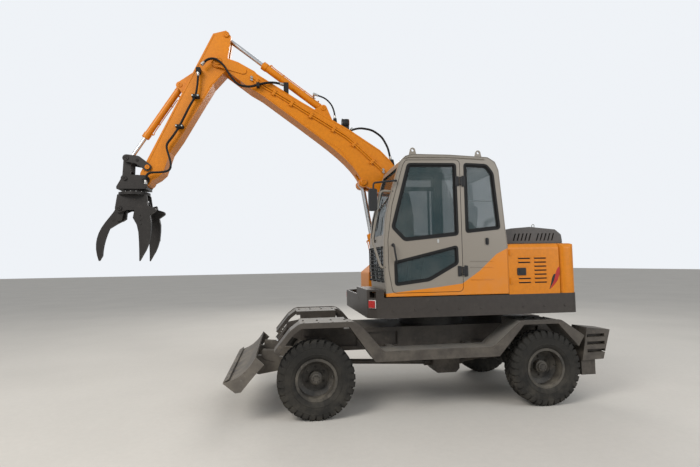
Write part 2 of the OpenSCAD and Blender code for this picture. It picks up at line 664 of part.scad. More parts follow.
// Louvre columns as [x behind the cab, rows left out for the latch]
louvre_columns = [[125, [2, 3, 4]], [325, []]];
module louvres() {
    for (c = louvre_columns) for (row = [0:louvre_rows - 1]) if (len(search(row, c[1])) == 0)
        translate([cab_rear + c[0], 0, louvre_z + row * louvre_pitch])
            box([0, -upper_half - 1, 0], [louvre_w, -upper_half + panel_t + 1, 16]);
}
module panel_latch() {
    box([cab_rear + 107, -upper_half - 6, louvre_z + 2 * louvre_pitch],
        [cab_rear + 216, -upper_half + 5, louvre_z + 4 * louvre_pitch - 8]);
}
module body_panel(x0, x1) {
    outer = shoulder(upper_half, skirt_top, body_top, top_fillet);
    inner = shoulder(upper_half - panel_t, skirt_top, body_top - panel_t, top_fillet - panel_t);
    across(concat(outer, [[-hood_half + panel_t, body_top], [-hood_half + panel_t, body_top - panel_t]],
                  flip(inner)), x0, x1);
}
module left_side_panel() {
    color(amber) {
        difference() {
            body_panel(cab_rear + 3, weight_front);
            louvres();
        }
        panel_latch();
    }
}
tank_rear = cab_rear - 500;
module right_side_panel() {
    color(amber) mirror([0, 1, 0]) {
        difference() {
            body_panel(tank_rear, weight_front);
            louvres();
        }
        panel_latch();
    }
}
module tank_cover() {
    z1 = skirt_top + 470;
    color(amber) slab(rounded([[cab_front + 60, skirt_top], [tank_rear, skirt_top], [tank_rear, z1],
                               [cab_front + 320, z1], [cab_front + 60, skirt_top + 260]], 40, 4),
                      bracket_far + bracket_t + 24, upper_half - 5);
}
wall_x = tank_rear + 200;
module bulkhead() {
    color(chassis_dark) {
        box([wall_x, -cab_side + cab_w + 12, floor_top],
            [wall_x + 30, upper_half - panel_t - top_fillet, body_top - panel_t]);
        box([wall_x, -cab_side + cab_w + 12, body_top - panel_t], [cab_rear + 3, hood_half - panel_t, body_top]);
    }
}
module engine_hood() {
    x = cab_rear + 3;
    profile = rounded([[x, body_top], [x + 810, body_top], [x + 796, body_top + 113], [x + 718, body_top + 177],
                       [x + 385, body_top + 210], [x + 146, body_top + 193], [x, body_top + 150]], 25, 3);
    color(near_black) difference() {
        slab(profile, -hood_half, hood_half);
        slab([[x + 30, body_top - 5], [x + 778, body_top - 5], [x + 768, body_top + 98],
              [x + 706, body_top + 149], [x + 380, body_top + 179], [x + 150, body_top + 163],
              [x + 30, body_top + 128]], -hood_half + 30, hood_half - 30);
        for (i = [0:4]) for (g = [0, 300])
            slab([[x + 160 + g + i * 50, body_top + 40], [x + 178 + g + i * 50, body_top + 40],
                  [x + 208 + g + i * 50, body_top + 130], [x + 190 + g + i * 50, body_top + 130]],
                 -hood_half - 1, hood_half + 1);
    }
}
module engine_block() {
    color(near_black) box([cab_rear + 60, -350, floor_top], [weight_front - 40, 350, body_top - 90]);
}

// Cab: outlines are [x, z] in side view
cab_out = [[354, cab_bottom], [1810, cab_bottom], [1810, 1885], [1792, 2061], [1734, 2758], [1692, 2858],
           [1603, 2912], [1130, 2935], [684, 2937], [605, 2912], [541, 2850], [439, 2514], [363, 2229],
           [334, 1947], [333, 1667]];
door_out = rounded([[430, 1352], [1252, 1352], [1252, 2872], [612, 2862], [575, 2800], [441, 2345],
                    [385, 1947], [389, 1610]], 45, 3);
door_window = rounded([[576, 1938], [1210, 2000], [1204, 2828], [634, 2822], [432, 2090]], 30, 3);
door_lower_window = rounded([[460, 1436], [855, 1482], [1200, 1668], [1196, 1872], [456, 1700]], 25, 3);
side_window = rounded([[1310, 2026], [1722, 2068], [1662, 2722], [1585, 2822], [1310, 2832]], 25, 3);
far_window = rounded([[440, 2010], [1215, 2010], [1215, 2820], [650, 2820], [500, 2400]], 25, 3);
far_rear_window = rounded([[1300, 2026], [1722, 2068], [1662, 2722], [1585, 2822], [1300, 2822]], 25, 3);
cab_near = -cab_side;
cab_far = -cab_side + cab_w;
front_pane_z = [2010, 2790];
low_pane_z = [1470, 1880];
rear_pane_z = [2040, 2740];
pane_margin = 62;
module cab_band(z0, z1, x0, x1) {
    intersection() {
        difference() {
            slab(inset(cab_out, -60), cab_near + pane_margin, cab_far - pane_margin);
            slab(inset(cab_out, cab_wall + 20), cab_near, cab_far);
        }
        box([x0, cab_near, z0], [x1, cab_far, z1]);
    }
}
hinge_x = 1257;
hinge_y = cab_near - 16;
hinge_z = [1582, 2623];
hinge_r = 14;
hinge_pin_r = 7;
hinge_half = 28;
leaf_t = 8;
module hinge_fixed(z) {
    for (s = [-1, 1]) translate([hinge_x, hinge_y, z + s * (hinge_half + 10) - 8]) {
        cylinder(r = hinge_r, h = 16, $fn = fine);
        translate([0, cab_near - leaf_t - hinge_y, 0]) cube([50, leaf_t, 16]);
    }
    translate([hinge_x, hinge_y, z - hinge_half - 15]) cylinder(r = hinge_pin_r, h = 2 * hinge_half + 30, $fn = fine);
    box([hinge_x + hinge_r + 4, cab_near - leaf_t, z - hinge_half - 15],
        [hinge_x + 55, cab_near, z + hinge_half + 15]);
}
module hinge_moving(z) {
    difference() {
        union() {
            translate([hinge_x, hinge_y, z - hinge_half]) cylinder(r = hinge_r, h = 2 * hinge_half, $fn = fine);
            box([hinge_x - 60, cab_near - leaf_t, z - hinge_half], [hinge_x, cab_near + 1, z + hinge_half]);
        }
        translate([hinge_x, hinge_y, z - hinge_half - 1])
            cylinder(r = hinge_pin_r + run_gap, h = 2 * hinge_half + 2, $fn = fine);
        box([hinge_x - 4, cab_near - 0.5, z - hinge_half - 1], [hinge_x + 1, cab_near + 2, z + hinge_half + 1]);
    }
}
lift_eye_x = [705, 1500];
lift_eye_r = 15;
lift_eye_t = 14;
function roof_z(x) = lookup(x, [for (i = [8:-1:5]) cab_out[i]]);
module roof_eye(x) {
    c = [x, roof_z(x) + 50];
    y = cab_near + 30;
    difference() {
        slab(concat(arc(c, 32, 0, 180, 8), [c + [-46, -58], c + [46, -58]]), y, y + lift_eye_t);
        pin(c, lift_eye_r, y - 1, y + lift_eye_t + 1);
    }
}
module cab_shell() {
    color(warm_grey) {
        cab_walls();
        for (x = lift_eye_x) roof_eye(x);
        for (z = hinge_z) hinge_fixed(z);
    }
}
module cab_walls() {
    difference() {
        slab(cab_out, cab_near, cab_far);
        slab(inset(cab_out, cab_wall), cab_near + cab_wall, cab_far - cab_wall);
        slab(inset(door_out, -door_gap), cab_near - 1, cab_near + cab_wall + 1);
        slab(side_window, cab_near - 1, cab_near + cab_wall + 1);
        slab(far_window, cab_far - cab_wall - 1, cab_far + 1);
        slab(far_rear_window, cab_far - cab_wall - 1, cab_far + 1);
        cab_band(front_pane_z[0], front_pane_z[1], cab_front - 100, 900);
        cab_band(low_pane_z[0], low_pane_z[1], cab_front - 100, 900);
        cab_band(rear_pane_z[0], rear_pane_z[1], 1500, cab_rear + 100);
    }
}
module wrap_pane(zs, x0, x1) {
    intersection() {
        difference() {
            slab(inset(cab_out, 20), cab_near + pane_margin, cab_far - pane_margin);
            slab(inset(cab_out, 20 + pane_t), cab_near, cab_far);
        }
        box([x0, cab_near, zs[0]], [x1, cab_far, zs[1]]);
    }
}
module cab_glass() {
    color("#9fb4b8", 0.4) {
        wrap_pane(front_pane_z, cab_front - 100, 900);
        wrap_pane(low_pane_z, cab_front - 100, 900);
        wrap_pane(rear_pane_z, 1500, cab_rear + 100);
        slab(side_window, cab_near + 20, cab_near + 20 + pane_t);
        slab(far_window, cab_far - 20 - pane_t, cab_far - 20);
        slab(far_rear_window, cab_far - 20 - pane_t, cab_far - 20);
    }
}
module cab_door() {
    color(warm_grey) {
        difference() {
            slab(door_out, cab_near, cab_near + door_t);
            slab(door_window, cab_near - 1, cab_near + door_t + 1);
            slab(door_lower_window, cab_near - 1, cab_near + door_t + 1);
        }
        for (z = hinge_z) hinge_moving(z);
    }
}
module door_glass() {
    color("#9fb4b8", 0.4) for (outline = [door_window, door_lower_window])
        slab(outline, cab_near + 16, cab_near + 16 + pane_t);
}

seat_y = cab_near + cab_w / 2;
cab_floor = cab_bottom + cab_wall;
module seat_cushion() {
    color(near_black) slab(rounded([[870, cab_floor + 200], [1370, cab_floor + 200], [1370, cab_floor + 310],
                                    [870, cab_floor + 330]], 40, 4), seat_y - 250, seat_y + 250);
}
module seat_back() {
    color(near_black) slab(rounded([[1380, cab_floor + 230], [1480, cab_floor + 230], [1600, cab_floor + 1020],
                                    [1500, cab_floor + 1020]], 40, 4), seat_y - 240, seat_y + 240);
}
module cab_controls() {
    color(near_black) {
        box([960, seat_y - 180, cab_floor], [1340, seat_y + 180, cab_floor + 200]);
        box([1300, seat_y - 100, cab_floor + 100], [1480, seat_y + 100, cab_floor + 190]);
        box([1385, seat_y - 100, cab_floor + 150], [1480, seat_y + 100, cab_floor + 230]);
        for (s = [-1, 1]) {
            box([820, seat_y + s * 310 - 45, cab_floor], [1320, seat_y + s * 310 + 45, cab_floor + 380]);
            rod3([880, seat_y + s * 310, cab_floor + 375], [850, seat_y + s * 310, cab_floor + 560], 16);
            translate([846, seat_y + s * 310, cab_floor + 590]) sphere(r = 32, $fn = 24);
            box([470, seat_y + s * 110 - 45, cab_floor], [560, seat_y + s * 110 + 45, cab_floor + 160]);
        }
        translate([620, seat_y, cab_floor]) cylinder(r = 60, h = 20, $fn = fine);
        rod3([622, seat_y, cab_floor + 10], [743, seat_y, cab_floor + 575], 35);
        translate([745, seat_y, cab_floor + 585]) rotate([0, 12, 0]) {
            difference() {
                cylinder(r = 180, h = 26, center = true, $fn = fine);
                cylinder(r = 156, h = 30, center = true, $fn = fine);
            }
            cylinder(r = 50, h = 40, center = true, $fn = fine);
            for (a = [0, 120, 240]) rotate([0, 0, a]) translate([40, -12, -8]) cube([130, 24, 16]);
        }
    }
}

mirror_y = cab_near - 40;
module side_mirror() {
    color(near_black) {
        slab(rounded([[165, 2274], [255, 2274], [255, 2519], [165, 2519]], 20, 3), mirror_y - 35, mirror_y + 35);
        tube(softened([[220, mirror_y, 2500], [220, mirror_y, 2590], [490, mirror_y, 2620],
                       [490, cab_near, 2620]], 30), 11);
    }
}
// Front face of the cab at height z
function cab_face(z) = lookup(z, [for (p = [for (i = [10:14]) cab_out[i]]) [p[1], p[0]]]);
rail_r = 14;
module handrail() {
    y = cab_near + 25;
    color(near_black)
        tube(softened([[cab_face(2491), y, 2505], [312, y, 2513], [208, y, 1948], [300, y, 1640],
                       [cab_face(1667), y, 1640]], 50), rail_r);
}
module marker_lamps() {
    color("#b02018") both_sides() translate([upper_front + 55, -upper_half + 55, 0])
        rotate([0, 0, -135]) box([0, -40, skirt_top - 110], [28, 40, skirt_top - 30]);
}

// Boom: side outline from the arm pivot along the top to the foot and back under it
function from_tip(x, z) = arm_pivot + [x, z];
function from_foot(x, z) = boom_foot + [x, z];
boom_out = concat(
    [from_foot(60, 100), from_foot(60, 700)], bend(from_foot(55, 760), from_foot(0, 1180), from_foot(-250, 1480), 6),
    [from_foot(-382, 1614), from_foot(-787, 1879), from_tip(1064, -495), from_tip(505, -150), from_tip(480, -122),
     from_tip(467, -112), from_tip(261, 0), from_tip(45, 71)],
    arc(arm_pivot, 84, 75, 300, 10),
    [from_tip(108, -114), from_tip(414, -342), from_tip(568, -431), from_tip(1061, -792)],
    bend(from_foot(-1191, 1762), from_foot(-760, 1440), from_foot(-650, 1225), 6),
    arc(lift_eye, 66, 160, 300, 6), bend(from_foot(-480, 1080), from_foot(-300, 980), from_foot(-240, 850), 5),
    arc(boom_foot, 95, 180, 350, 8));
arm_pin_r = 40;
arm_cyl_pin_r = 24;
eye_gap = 60;
lug_t = 20;
tip_t = 12;
lamp_r = 52;
lamp_y = boom_near + 42;
lamp_at = from_foot(-885, 1985);
// Point at x on the line through a and b
function on_line(a, b, x) = a + (x - a[0]) / (b[0] - a[0]) * (b - a);
function boom_top(x) = on_line(from_foot(-787, 1879), from_tip(1064, -495), boom_foot[0] + x);
function tip_top(x) = on_line(from_tip(1064, -495), from_tip(505, -150), arm_pivot[0] + x);
arm_lug_in = arm_barrel_r + side_gap;
module boom() {
    eye_slot = [lift_eye + [-120, 125], lift_eye + [-75, -200], lift_eye + [260, -260], lift_eye + [230, 145]];
    color(amber) {
        difference() {
            union() {
                slab(boom_out, boom_near, boom_far);
                for (s = [-1, 1])
                    slab(belt([disc(arm_base, 48), [arm_base[0] - 150, arm_base[1] - 60, 20],
                               [arm_base[0] + 130, arm_base[1] - 240, 20]]),
                         boom_y + s * (arm_lug_in + lug_t / 2) - lug_t / 2,
                         boom_y + s * (arm_lug_in + lug_t / 2) + lug_t / 2);
            }
            slab([from_tip(-200, 200), from_tip(-200, -300), from_tip(270, -300), from_tip(345, -120),
                  from_tip(345, 200)], boom_near + cheek_t, boom_far - cheek_t);
            slab(eye_slot, boom_y - eye_gap, boom_y + eye_gap);
            pin(boom_foot, boom_pin_r + run_gap, boom_near - 5, boom_far + 5);
        }
        for (y = [boom_near - tip_t, boom_far])
            slab(belt([disc(arm_pivot, 74), concat(from_tip(325, -115), 46)]), y, y + tip_t);
        pin(arm_pivot, arm_pin_r, boom_near - tip_t - 6, boom_far + tip_t + 6);
        slab([boom_top(-900) - [0, 20], boom_top(-800) - [0, 20], from_foot(-800, 1990), from_foot(-880, 1990)],
             lamp_y - 20, lamp_y + 20);
        rod3([lamp_at[0], lamp_y, lamp_at[1]], [lamp_at[0] + 90, lamp_y, lamp_at[1]], lamp_r);
        pin(arm_base, arm_cyl_pin_r, boom_y - arm_lug_in - lug_t, boom_y + arm_lug_in + lug_t);
        for (y = [boom_near - 12, boom_far]) pin(lift_eye, 48, y, y + 12);
    }
}
pipe_r = 11;
module boom_pipes() {
    color(near_black) for (k = [0:1]) {
        d = 34 * k;
        tube(softened([for (p = [from_foot(-330, 1330 - d), from_foot(-820, 1790 - d), from_tip(1100, -600 - d),
                                 from_tip(420, -190 - d)]) [p[0], boom_near - pipe_r - run_gap, p[1]]], 90), pipe_r);
    }
}
// Hose routes in the plane of x and z: over the arm's pivot, over the bend of the boom, to the arm cylinder
hose_r = 11;
hose_pitch = 25;
tip_hose = [for (p = [[856, -280], [735, -262], [605, -288], [416, -350], [263, -329], [161, -200], [86, -70],
                      [-15, 13], [-116, 1], [-191, -82]]) arm_pivot + p];
back_hose = [for (p = [[-765, 1900], [-740, 1925], [-625, 1955], [-456, 1931], [-317, 1835], [-236, 1682],
                       [-200, 1505]]) boom_foot + p];
barrel_hose = [for (p = [[-983, 2030], [-985, 2120], [-1020, 2230], [-1104, 2320], [-1254, 2371]]) boom_foot + p];
// Sweeps one hose along a route, its y given at every point
module hose(route, ys, r = hose_r) {
    tube(softened([for (i = [0:len(route) - 1]) [route[i][0], ys[min(i, len(ys) - 1)], route[i][1]]], 60), r, 8);
}
module boom_hoses() {
    side = boom_near - 42;
    color(near_black) {
        for (k = [0:1]) {
            hose(tip_hose, [for (y = [boom_near + 20, side / 2, side, side]) y - k * hose_pitch]);
            hose(back_hose, [boom_y - hose_pitch * (k - 0.5)]);
        }
        hose(barrel_hose, [boom_near + 48]);
        slab([tip_top(850), tip_top(916), from_tip(916, -255), from_tip(850, -255)],
             boom_near - 20, boom_near + 40);
        box([arm_pivot[0] + 500, side - hose_pitch - 20, arm_pivot[1] - 345],
            [arm_pivot[0] + 540, side + 14, arm_pivot[1] - 295]);
        box([arm_pivot[0] + 500, side, arm_pivot[1] - 345], [arm_pivot[0] + 540, boom_near, arm_pivot[1] - 325]);
        slab([boom_top(-800), from_foot(-790, 1915), from_foot(-740, 1915), boom_top(-787)], boom_y - 35, boom_y + 35);
        slab([from_foot(-250, 1480), from_foot(-172, 1377), from_foot(-150, 1400), from_foot(-170, 1514),
              from_foot(-226, 1514)], boom_y - 35, boom_y + 35);
        slab([boom_top(-1010), boom_top(-955), from_foot(-962, 2045), from_foot(-1004, 2045)],
             boom_near + 30, boom_near + 66);
    }
}
lift_rod_r = 32;
module lift_barrel() {
    color(amber) barrel_of(lift_base, lift_eye, boom_y, lift_barrel_r, 800, lift_rod_r, 62, 110, lift_pin_r);
}
module lift_rod() {
    color(chrome) rod_of(lift_base, lift_eye, boom_y, lift_rod_r, 566, 58, 96);
}

// Arm
arm_out_line = concat(
    arc(tool_pin, 75, 200, 350, 8), [tool_pin + [141, 25], tool_pin + [213, 92]],
    [tool_pin + [299, 359], arm_pivot + [-465, -1022], arm_pivot + [-220, -584], arm_pivot + [-58, -301],
     arm_pivot + [107, -107], arm_pivot + [132, 95], arm_pivot + [171, 354], arm_pivot + [107, 432],
     arm_pivot + [-59, 382], tool_pin + [-60, 92]]);
rocker_pin_r = 24;
tool_pin_r = 28;
rocker_t = 16;
tool_lug_in = tool_barrel_r + side_gap;
tool_cyl_pin_r = 22;
module arm() {
    slot = [arm_eye + [-120, -75], arm_eye + [-20, -360], arm_eye + [400, -500], arm_eye + [400, 400],
            arm_eye + [-120, 400]];
    color(amber) {
        difference() {
            union() {
                slab(arm_out_line, arm_near, arm_far);
                slab(concat(arc(tool_base, 50, 100, 260, 6), [arm_pivot + [-400, -520], arm_pivot + [-200, -40]]),
                     boom_y - tool_lug_in - lug_t, boom_y + tool_lug_in + lug_t);
            }
            slab(slot, boom_y - 48, boom_y + 48);
            pin(arm_pivot, arm_pin_r + run_gap, arm_near - 5, arm_far + 5);
            pin(tool_pin, tool_pin_r + run_gap, arm_near - 5, arm_far + 5);
            slab(concat(arc(tool_base, 70, 30, 210, 6), [tool_base + [-300, -200], tool_base + [0, -500],
                                                        tool_base + [40, -90]]), boom_y - tool_lug_in, boom_y + tool_lug_in);
        }
        pin(rocker_pin, rocker_pin_r, arm_near - side_gap - rocker_t - 6, arm_far + side_gap + rocker_t + 6);
        pin(tool_base, tool_cyl_pin_r, boom_y - tool_lug_in - lug_t, boom_y + tool_lug_in + lug_t);
        for (y = [arm_near - 10, arm_far]) pin(arm_eye, 40, y, y + 10);
    }
}
// Hose route down the arm to the grapple, and its clamps as points on the arm's side
arm_hose = [for (p = [[-235, -170], [-243, -327], [-267, -486], [-341, -619], [-463, -884], [-545, -1020],
                      [-627, -1125], [-600, -1230], [-560, -1360], [-576, -1456], [-696, -1478], [-816, -1478],
                      [-862, -1523], [-862, -1629]]) arm_pivot + p];
arm_hose_y = arm_near - 46;
module arm_hoses() {
    near = arm_hose_y - hose_pitch - 20;
    color(near_black) {
        for (k = [0:1]) hose(arm_hose, [arm_hose_y - k * hose_pitch]);
        box([arm_pivot[0] - 260, near, arm_pivot[1] - 175], [arm_pivot[0] - 205, arm_near, arm_pivot[1] - 115]);
        for (p = [[-267, -486], [-463, -884]])
            box([arm_pivot[0] + p[0] - 45, near, arm_pivot[1] + p[1] - 18],
                [arm_pivot[0] + p[0] + 45, arm_near, arm_pivot[1] + p[1] + 18]);
    }
}
arm_rod_r = 28;
module arm_barrel() {
    color(amber) barrel_of(arm_base, arm_eye, boom_y, arm_barrel_r, 997, arm_rod_r, 52, 2 * arm_barrel_r, arm_cyl_pin_r);
}
module arm_rod() {
    color(chrome) rod_of(arm_base, arm_eye, boom_y, arm_rod_r, 700, 46, 80);
}
tool_rod_r = 25;
module tool_barrel() {
    color(amber) barrel_of(tool_base, rod_pin, boom_y, tool_barrel_r, 817, tool_rod_r, 42, 2 * tool_barrel_r,
                              tool_cyl_pin_r);
}
module tool_rod() {
    color(chrome) rod_of(tool_base, rod_pin, boom_y, tool_rod_r, 580, 42, 70);
}
rocker_near = arm_near - side_gap - rocker_t;
rocker_far = arm_far + side_gap;
rocker_crown = rocker_pin + [-125, 95];
module rocker() {
    color(near_black) {
        difference() {
            for (y = [rocker_near, rocker_far]) {
                slab(belt([disc(rod_pin, 46), disc(rocker_crown, 50)]), y, y + rocker_t);
                slab(belt([disc(rocker_crown, 50), disc(rocker_pin, 48)]), y, y + rocker_t);
            }
            pin(rocker_pin, rocker_pin_r + run_gap, rocker_near - 5, rocker_far + rocker_t + 5);
        }
        pin(rod_pin, 34, rocker_near, boom_y - 100);
        pin(rod_pin, 34, boom_y + 100, rocker_far + rocker_t);
        pin(rocker_crown + [0, -5], 20, rocker_near + 2, rocker_far + rocker_t - 2);
    }
}
link_t = 22;
link_pin_r = 20;
module link() {
    color(near_black) difference() {
        union() {
            for (s = [-1, 1])
                slab(belt([disc(link_pin, 50), disc(rod_pin, 46)]), boom_y + s * 83 - link_t / 2,
                     boom_y + s * 83 + link_t / 2);
            pin((link_pin + rod_pin) / 2 + [0, -20], 24, boom_y - 80, boom_y + 80);
        }
        pin(link_pin, link_pin_r + run_gap, boom_y - 120, boom_y + 120);
    }
}

// Rotating grapple
head_bottom = tool_pin[1] - 80;
turn_r = 176;
swing_r = 40;
module tool_head() {
    color(near_black) {
        for (y = [rocker_near, rocker_far])
            slab(concat([[swing_x - turn_r, head_bottom - 5], [swing_x + turn_r, head_bottom - 5]],
                        arc(tool_pin, 58, -20, 85, 5), arc(link_pin, 52, 90, 190, 5)), y, y + rocker_t);
        pin(tool_pin, tool_pin_r, rocker_near - 6, rocker_far + rocker_t + 6);
        pin(link_pin, link_pin_r, rocker_near - 6, rocker_far + rocker_t + 6);
        pin([arm_hose[13][0], head_bottom - 10], 15, arm_hose_y - hose_pitch - 15, rocker_near + 2);
        box([swing_x - turn_r, rocker_near, head_bottom - 35],
            [swing_x + turn_r, rocker_far + rocker_t, head_bottom]);
        translate([swing_x, boom_y, head_bottom - 65]) cylinder(r = 120, h = 32, $fn = fine);
        translate([swing_x, boom_y, head_bottom - 120]) cylinder(r = swing_r, h = 60, $fn = fine);
    }
}
body_z = head_bottom - 71;
plate_in = 85;
plate_out = 110;
jaw_pin_r = 22;
module grapple_body() {
    color(near_black) {
        difference() {
            translate([swing_x, boom_y, body_z - 36]) cylinder(r = turn_r + 12, h = 36, $fn = fine);
            translate([swing_x, boom_y, body_z - 60]) cylinder(r = swing_r + run_gap, h = 80, $fn = fine);
        }
        for (s = [-1, 1])
            slab(concat(arc(jaw_left, 56, 180, 270, 4), [jaw_left + [80, -20], jaw_right + [-80, -20]],
                        arc(jaw_right, 56, -90, 0, 4),
                        [[swing_x + 175, body_z - 30], [swing_x - 175, body_z - 30]]),
                 boom_y + s * (plate_in + plate_out) / 2 - (plate_out - plate_in) / 2,
                 boom_y + s * (plate_in + plate_out) / 2 + (plate_out - plate_in) / 2);
        for (p = [jaw_left, jaw_right]) pin(p, jaw_pin_r, boom_y - plate_out - 8, boom_y + plate_out + 8);
    }
}
// Tine outline, its root at the jaw's pivot and its tip drawn in by a curve
jaw_ear = 90;
jaw_rod_r = 15;
jaw_cyl_pin_r = 13;
ear_in = 36;
ear_out = 60;
hub_half = plate_in - side_gap;
module left_jaw() {
    p = jaw_left;
    color(near_black) {
        difference() {
            union() {
                slab(concat([p + [-50, 40], p + [-106, -50], p + [-199, -175]],
                            bend(p + [-240, -240], p + [-345, -430], p + [-263, -653], 6),
                            bend(p + [-228, -591], p + [-225, -430], p + [-151, -251], 5),
                            [p + [-56, -189], p + [51, -132], p + [60, 0]]), boom_y - tine_t / 2, boom_y + tine_t / 2);
                slab(belt([disc(p, 50), p_disc(p, [-20, -110], 46)]), boom_y - hub_half, boom_y + hub_half);
            }
            pin(p, jaw_pin_r + run_gap, boom_y - 200, boom_y + 200);
        }
        for (s = [-1, 1])
            slab(concat(arc(p + [0, jaw_ear], 26, 0, 180, 6), [p + [-40, 30], p + [40, 30]]),
                 boom_y + s * (ear_in + ear_out) / 2 - (ear_out - ear_in) / 2,
                 boom_y + s * (ear_in + ear_out) / 2 + (ear_out - ear_in) / 2);
        pin(p + [0, jaw_ear], jaw_cyl_pin_r, boom_y - ear_out, boom_y + ear_out);
    }
}
module right_jaw() {
    p = jaw_right;
    bar_p = p + [5, -120];
    color(near_black) {
        difference() {
            union() {
                for (s = [-1, 1])
                    slab(concat([p + [73, 63], p + [-60, 26], p + [-89, -135], p + [-42, -222]],
                                bend(p + [-23, -308], p + [-10, -440], p + [-7, -664], 5),
                                bend(p + [32, -591], p + [130, -440], p + [122, -185], 6)),
                         boom_y + s * tine_spread - tine_t / 2, boom_y + s * tine_spread + tine_t / 2);
                slab(belt([disc(p, 50), disc(bar_p, 40)]), boom_y - hub_half, boom_y + hub_half);
                pin(bar_p, 40, boom_y - tine_spread, boom_y + tine_spread);
            }
            pin(p, jaw_pin_r + run_gap, boom_y - hub_half - 5, boom_y + hub_half + 5);
        }
        for (s = [-1, 1])
            slab(concat(arc(p + [0, jaw_ear], 26, 0, 180, 6), [p + [-40, 30], p + [40, 30]]),
                 boom_y + s * (ear_in + ear_out) / 2 - (ear_out - ear_in) / 2,
                 boom_y + s * (ear_in + ear_out) / 2 + (ear_out - ear_in) / 2);
        for (s = [-1, 1])
            slab(belt([p_disc(p, [150, -36], 28), p_disc(p, [60, -10], 30), p_disc(p, [70, -90], 30)]),
                 boom_y + s * tine_spread - tine_t / 2, boom_y + s * tine_spread + tine_t / 2);
    }
}
module jaw_barrel() {
    color(near_black) barrel_of(jaw_left + [0, jaw_ear], jaw_right + [0, jaw_ear], boom_y, 30, 190, jaw_rod_r,
                                24, 60, jaw_cyl_pin_r);
}
module jaw_rod() {
    color(chrome) rod_of(jaw_left + [0, jaw_ear], jaw_right + [0, jaw_ear], boom_y, jaw_rod_r, 109, 24, 60);
}

main_frame();
side_decks();
rear_steps();
front_axle();
rear_axle();
left_knuckle();
right_knuckle();
drive_line();
steering_cylinder();
steering_rod();
front_left_rim();
front_right_rim();
rear_left_rim();
rear_right_rim();
front_left_tyre();
front_right_tyre();
rear_left_tyre();
rear_right_tyre();
blade();
blade_barrels();
blade_rods();
slew_ring();
upper_frame();
skirt();
counterweight();
left_side_panel();
right_side_panel();
tank_cover();
bulkhead();
engine_hood();
engine_block();
cab_shell();
cab_glass();
cab_door();
door_glass();
seat_cushion();
seat_back();
cab_controls();
side_mirror();  // mirror
handrail();
marker_lamps();
boom();
boom_pipes();
boom_hoses();
lift_barrel();
lift_rod();
arm();
arm_hoses();
arm_barrel();
arm_rod();
tool_barrel();
tool_rod();
rocker();
link();
tool_head();
grapple_body();
left_jaw();
right_jaw();
jaw_barrel();
jaw_rod();
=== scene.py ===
"""Looks of a wheeled excavator with a grapple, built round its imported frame."""

import logging
import math
from dataclasses import dataclass
from enum import Enum
from typing import Iterable, Sequence, Union

import bmesh
import bpy
from mathutils import Matrix, Vector


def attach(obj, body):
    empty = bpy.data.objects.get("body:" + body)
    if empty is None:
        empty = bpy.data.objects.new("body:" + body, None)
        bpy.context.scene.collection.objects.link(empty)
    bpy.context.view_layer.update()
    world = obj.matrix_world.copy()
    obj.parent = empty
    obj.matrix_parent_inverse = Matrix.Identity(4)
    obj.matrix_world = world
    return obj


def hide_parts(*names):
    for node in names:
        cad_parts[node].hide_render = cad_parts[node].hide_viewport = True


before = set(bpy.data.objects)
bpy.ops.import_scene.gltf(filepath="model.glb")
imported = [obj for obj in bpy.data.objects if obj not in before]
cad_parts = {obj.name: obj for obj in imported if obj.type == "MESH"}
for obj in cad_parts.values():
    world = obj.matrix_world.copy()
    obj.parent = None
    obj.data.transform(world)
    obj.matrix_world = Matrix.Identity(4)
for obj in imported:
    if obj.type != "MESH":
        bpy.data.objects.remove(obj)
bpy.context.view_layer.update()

log = logging.getLogger("excavator")

Colour = tuple[float, float, float]
Point = tuple[float, float, float]
Operand = Union["Val", float]
Tint = Union["Val", Colour]

# places that several sub-assemblies share, in metres: axles as x, pins as (x, z) and planes as y
FRONT_AXLE, REAR_AXLE = -0.44, 2.24
AXLE_HEIGHT = 0.430
BODY_SIDE = 0.985
WORK_PLANE = 0.120
BOOM_FOOT = (0.900, 1.600)
BOOM_TIP = (-1.615, 4.350)
LIFT_EYE = (0.288, 2.775)
ARM_RAM_BASE = (-0.233, 3.793)
TOOL_PIN = (-2.500, 2.785)

# paints that several finishes share
AMBER_PAINT: Colour = (0.63, 0.20, 0.004)
GREY_PAINT: Colour = (0.235, 0.208, 0.172)
FRAME_PAINT: Colour = (0.060, 0.051, 0.043)
FRAME_WORN: Colour = (0.13, 0.11, 0.085)

# angles in degrees: below the first an edge gets no bevel, and below the second a node's edge is smooth
BEVEL_ANGLE = 40
NODE_SMOOTH = 28

# radius of the weld beads along the boom's and the arm's plates, and how far their middle stands out
PLATE_BEAD = 0.0042
BEAD_OUT = 0.0005

X_AXIS: Point = (1, 0, 0)
Y_AXIS: Point = (0, 1, 0)
Z_AXIS: Point = (0, 0, 1)
NEARWARD: Point = (0, -1, 0)


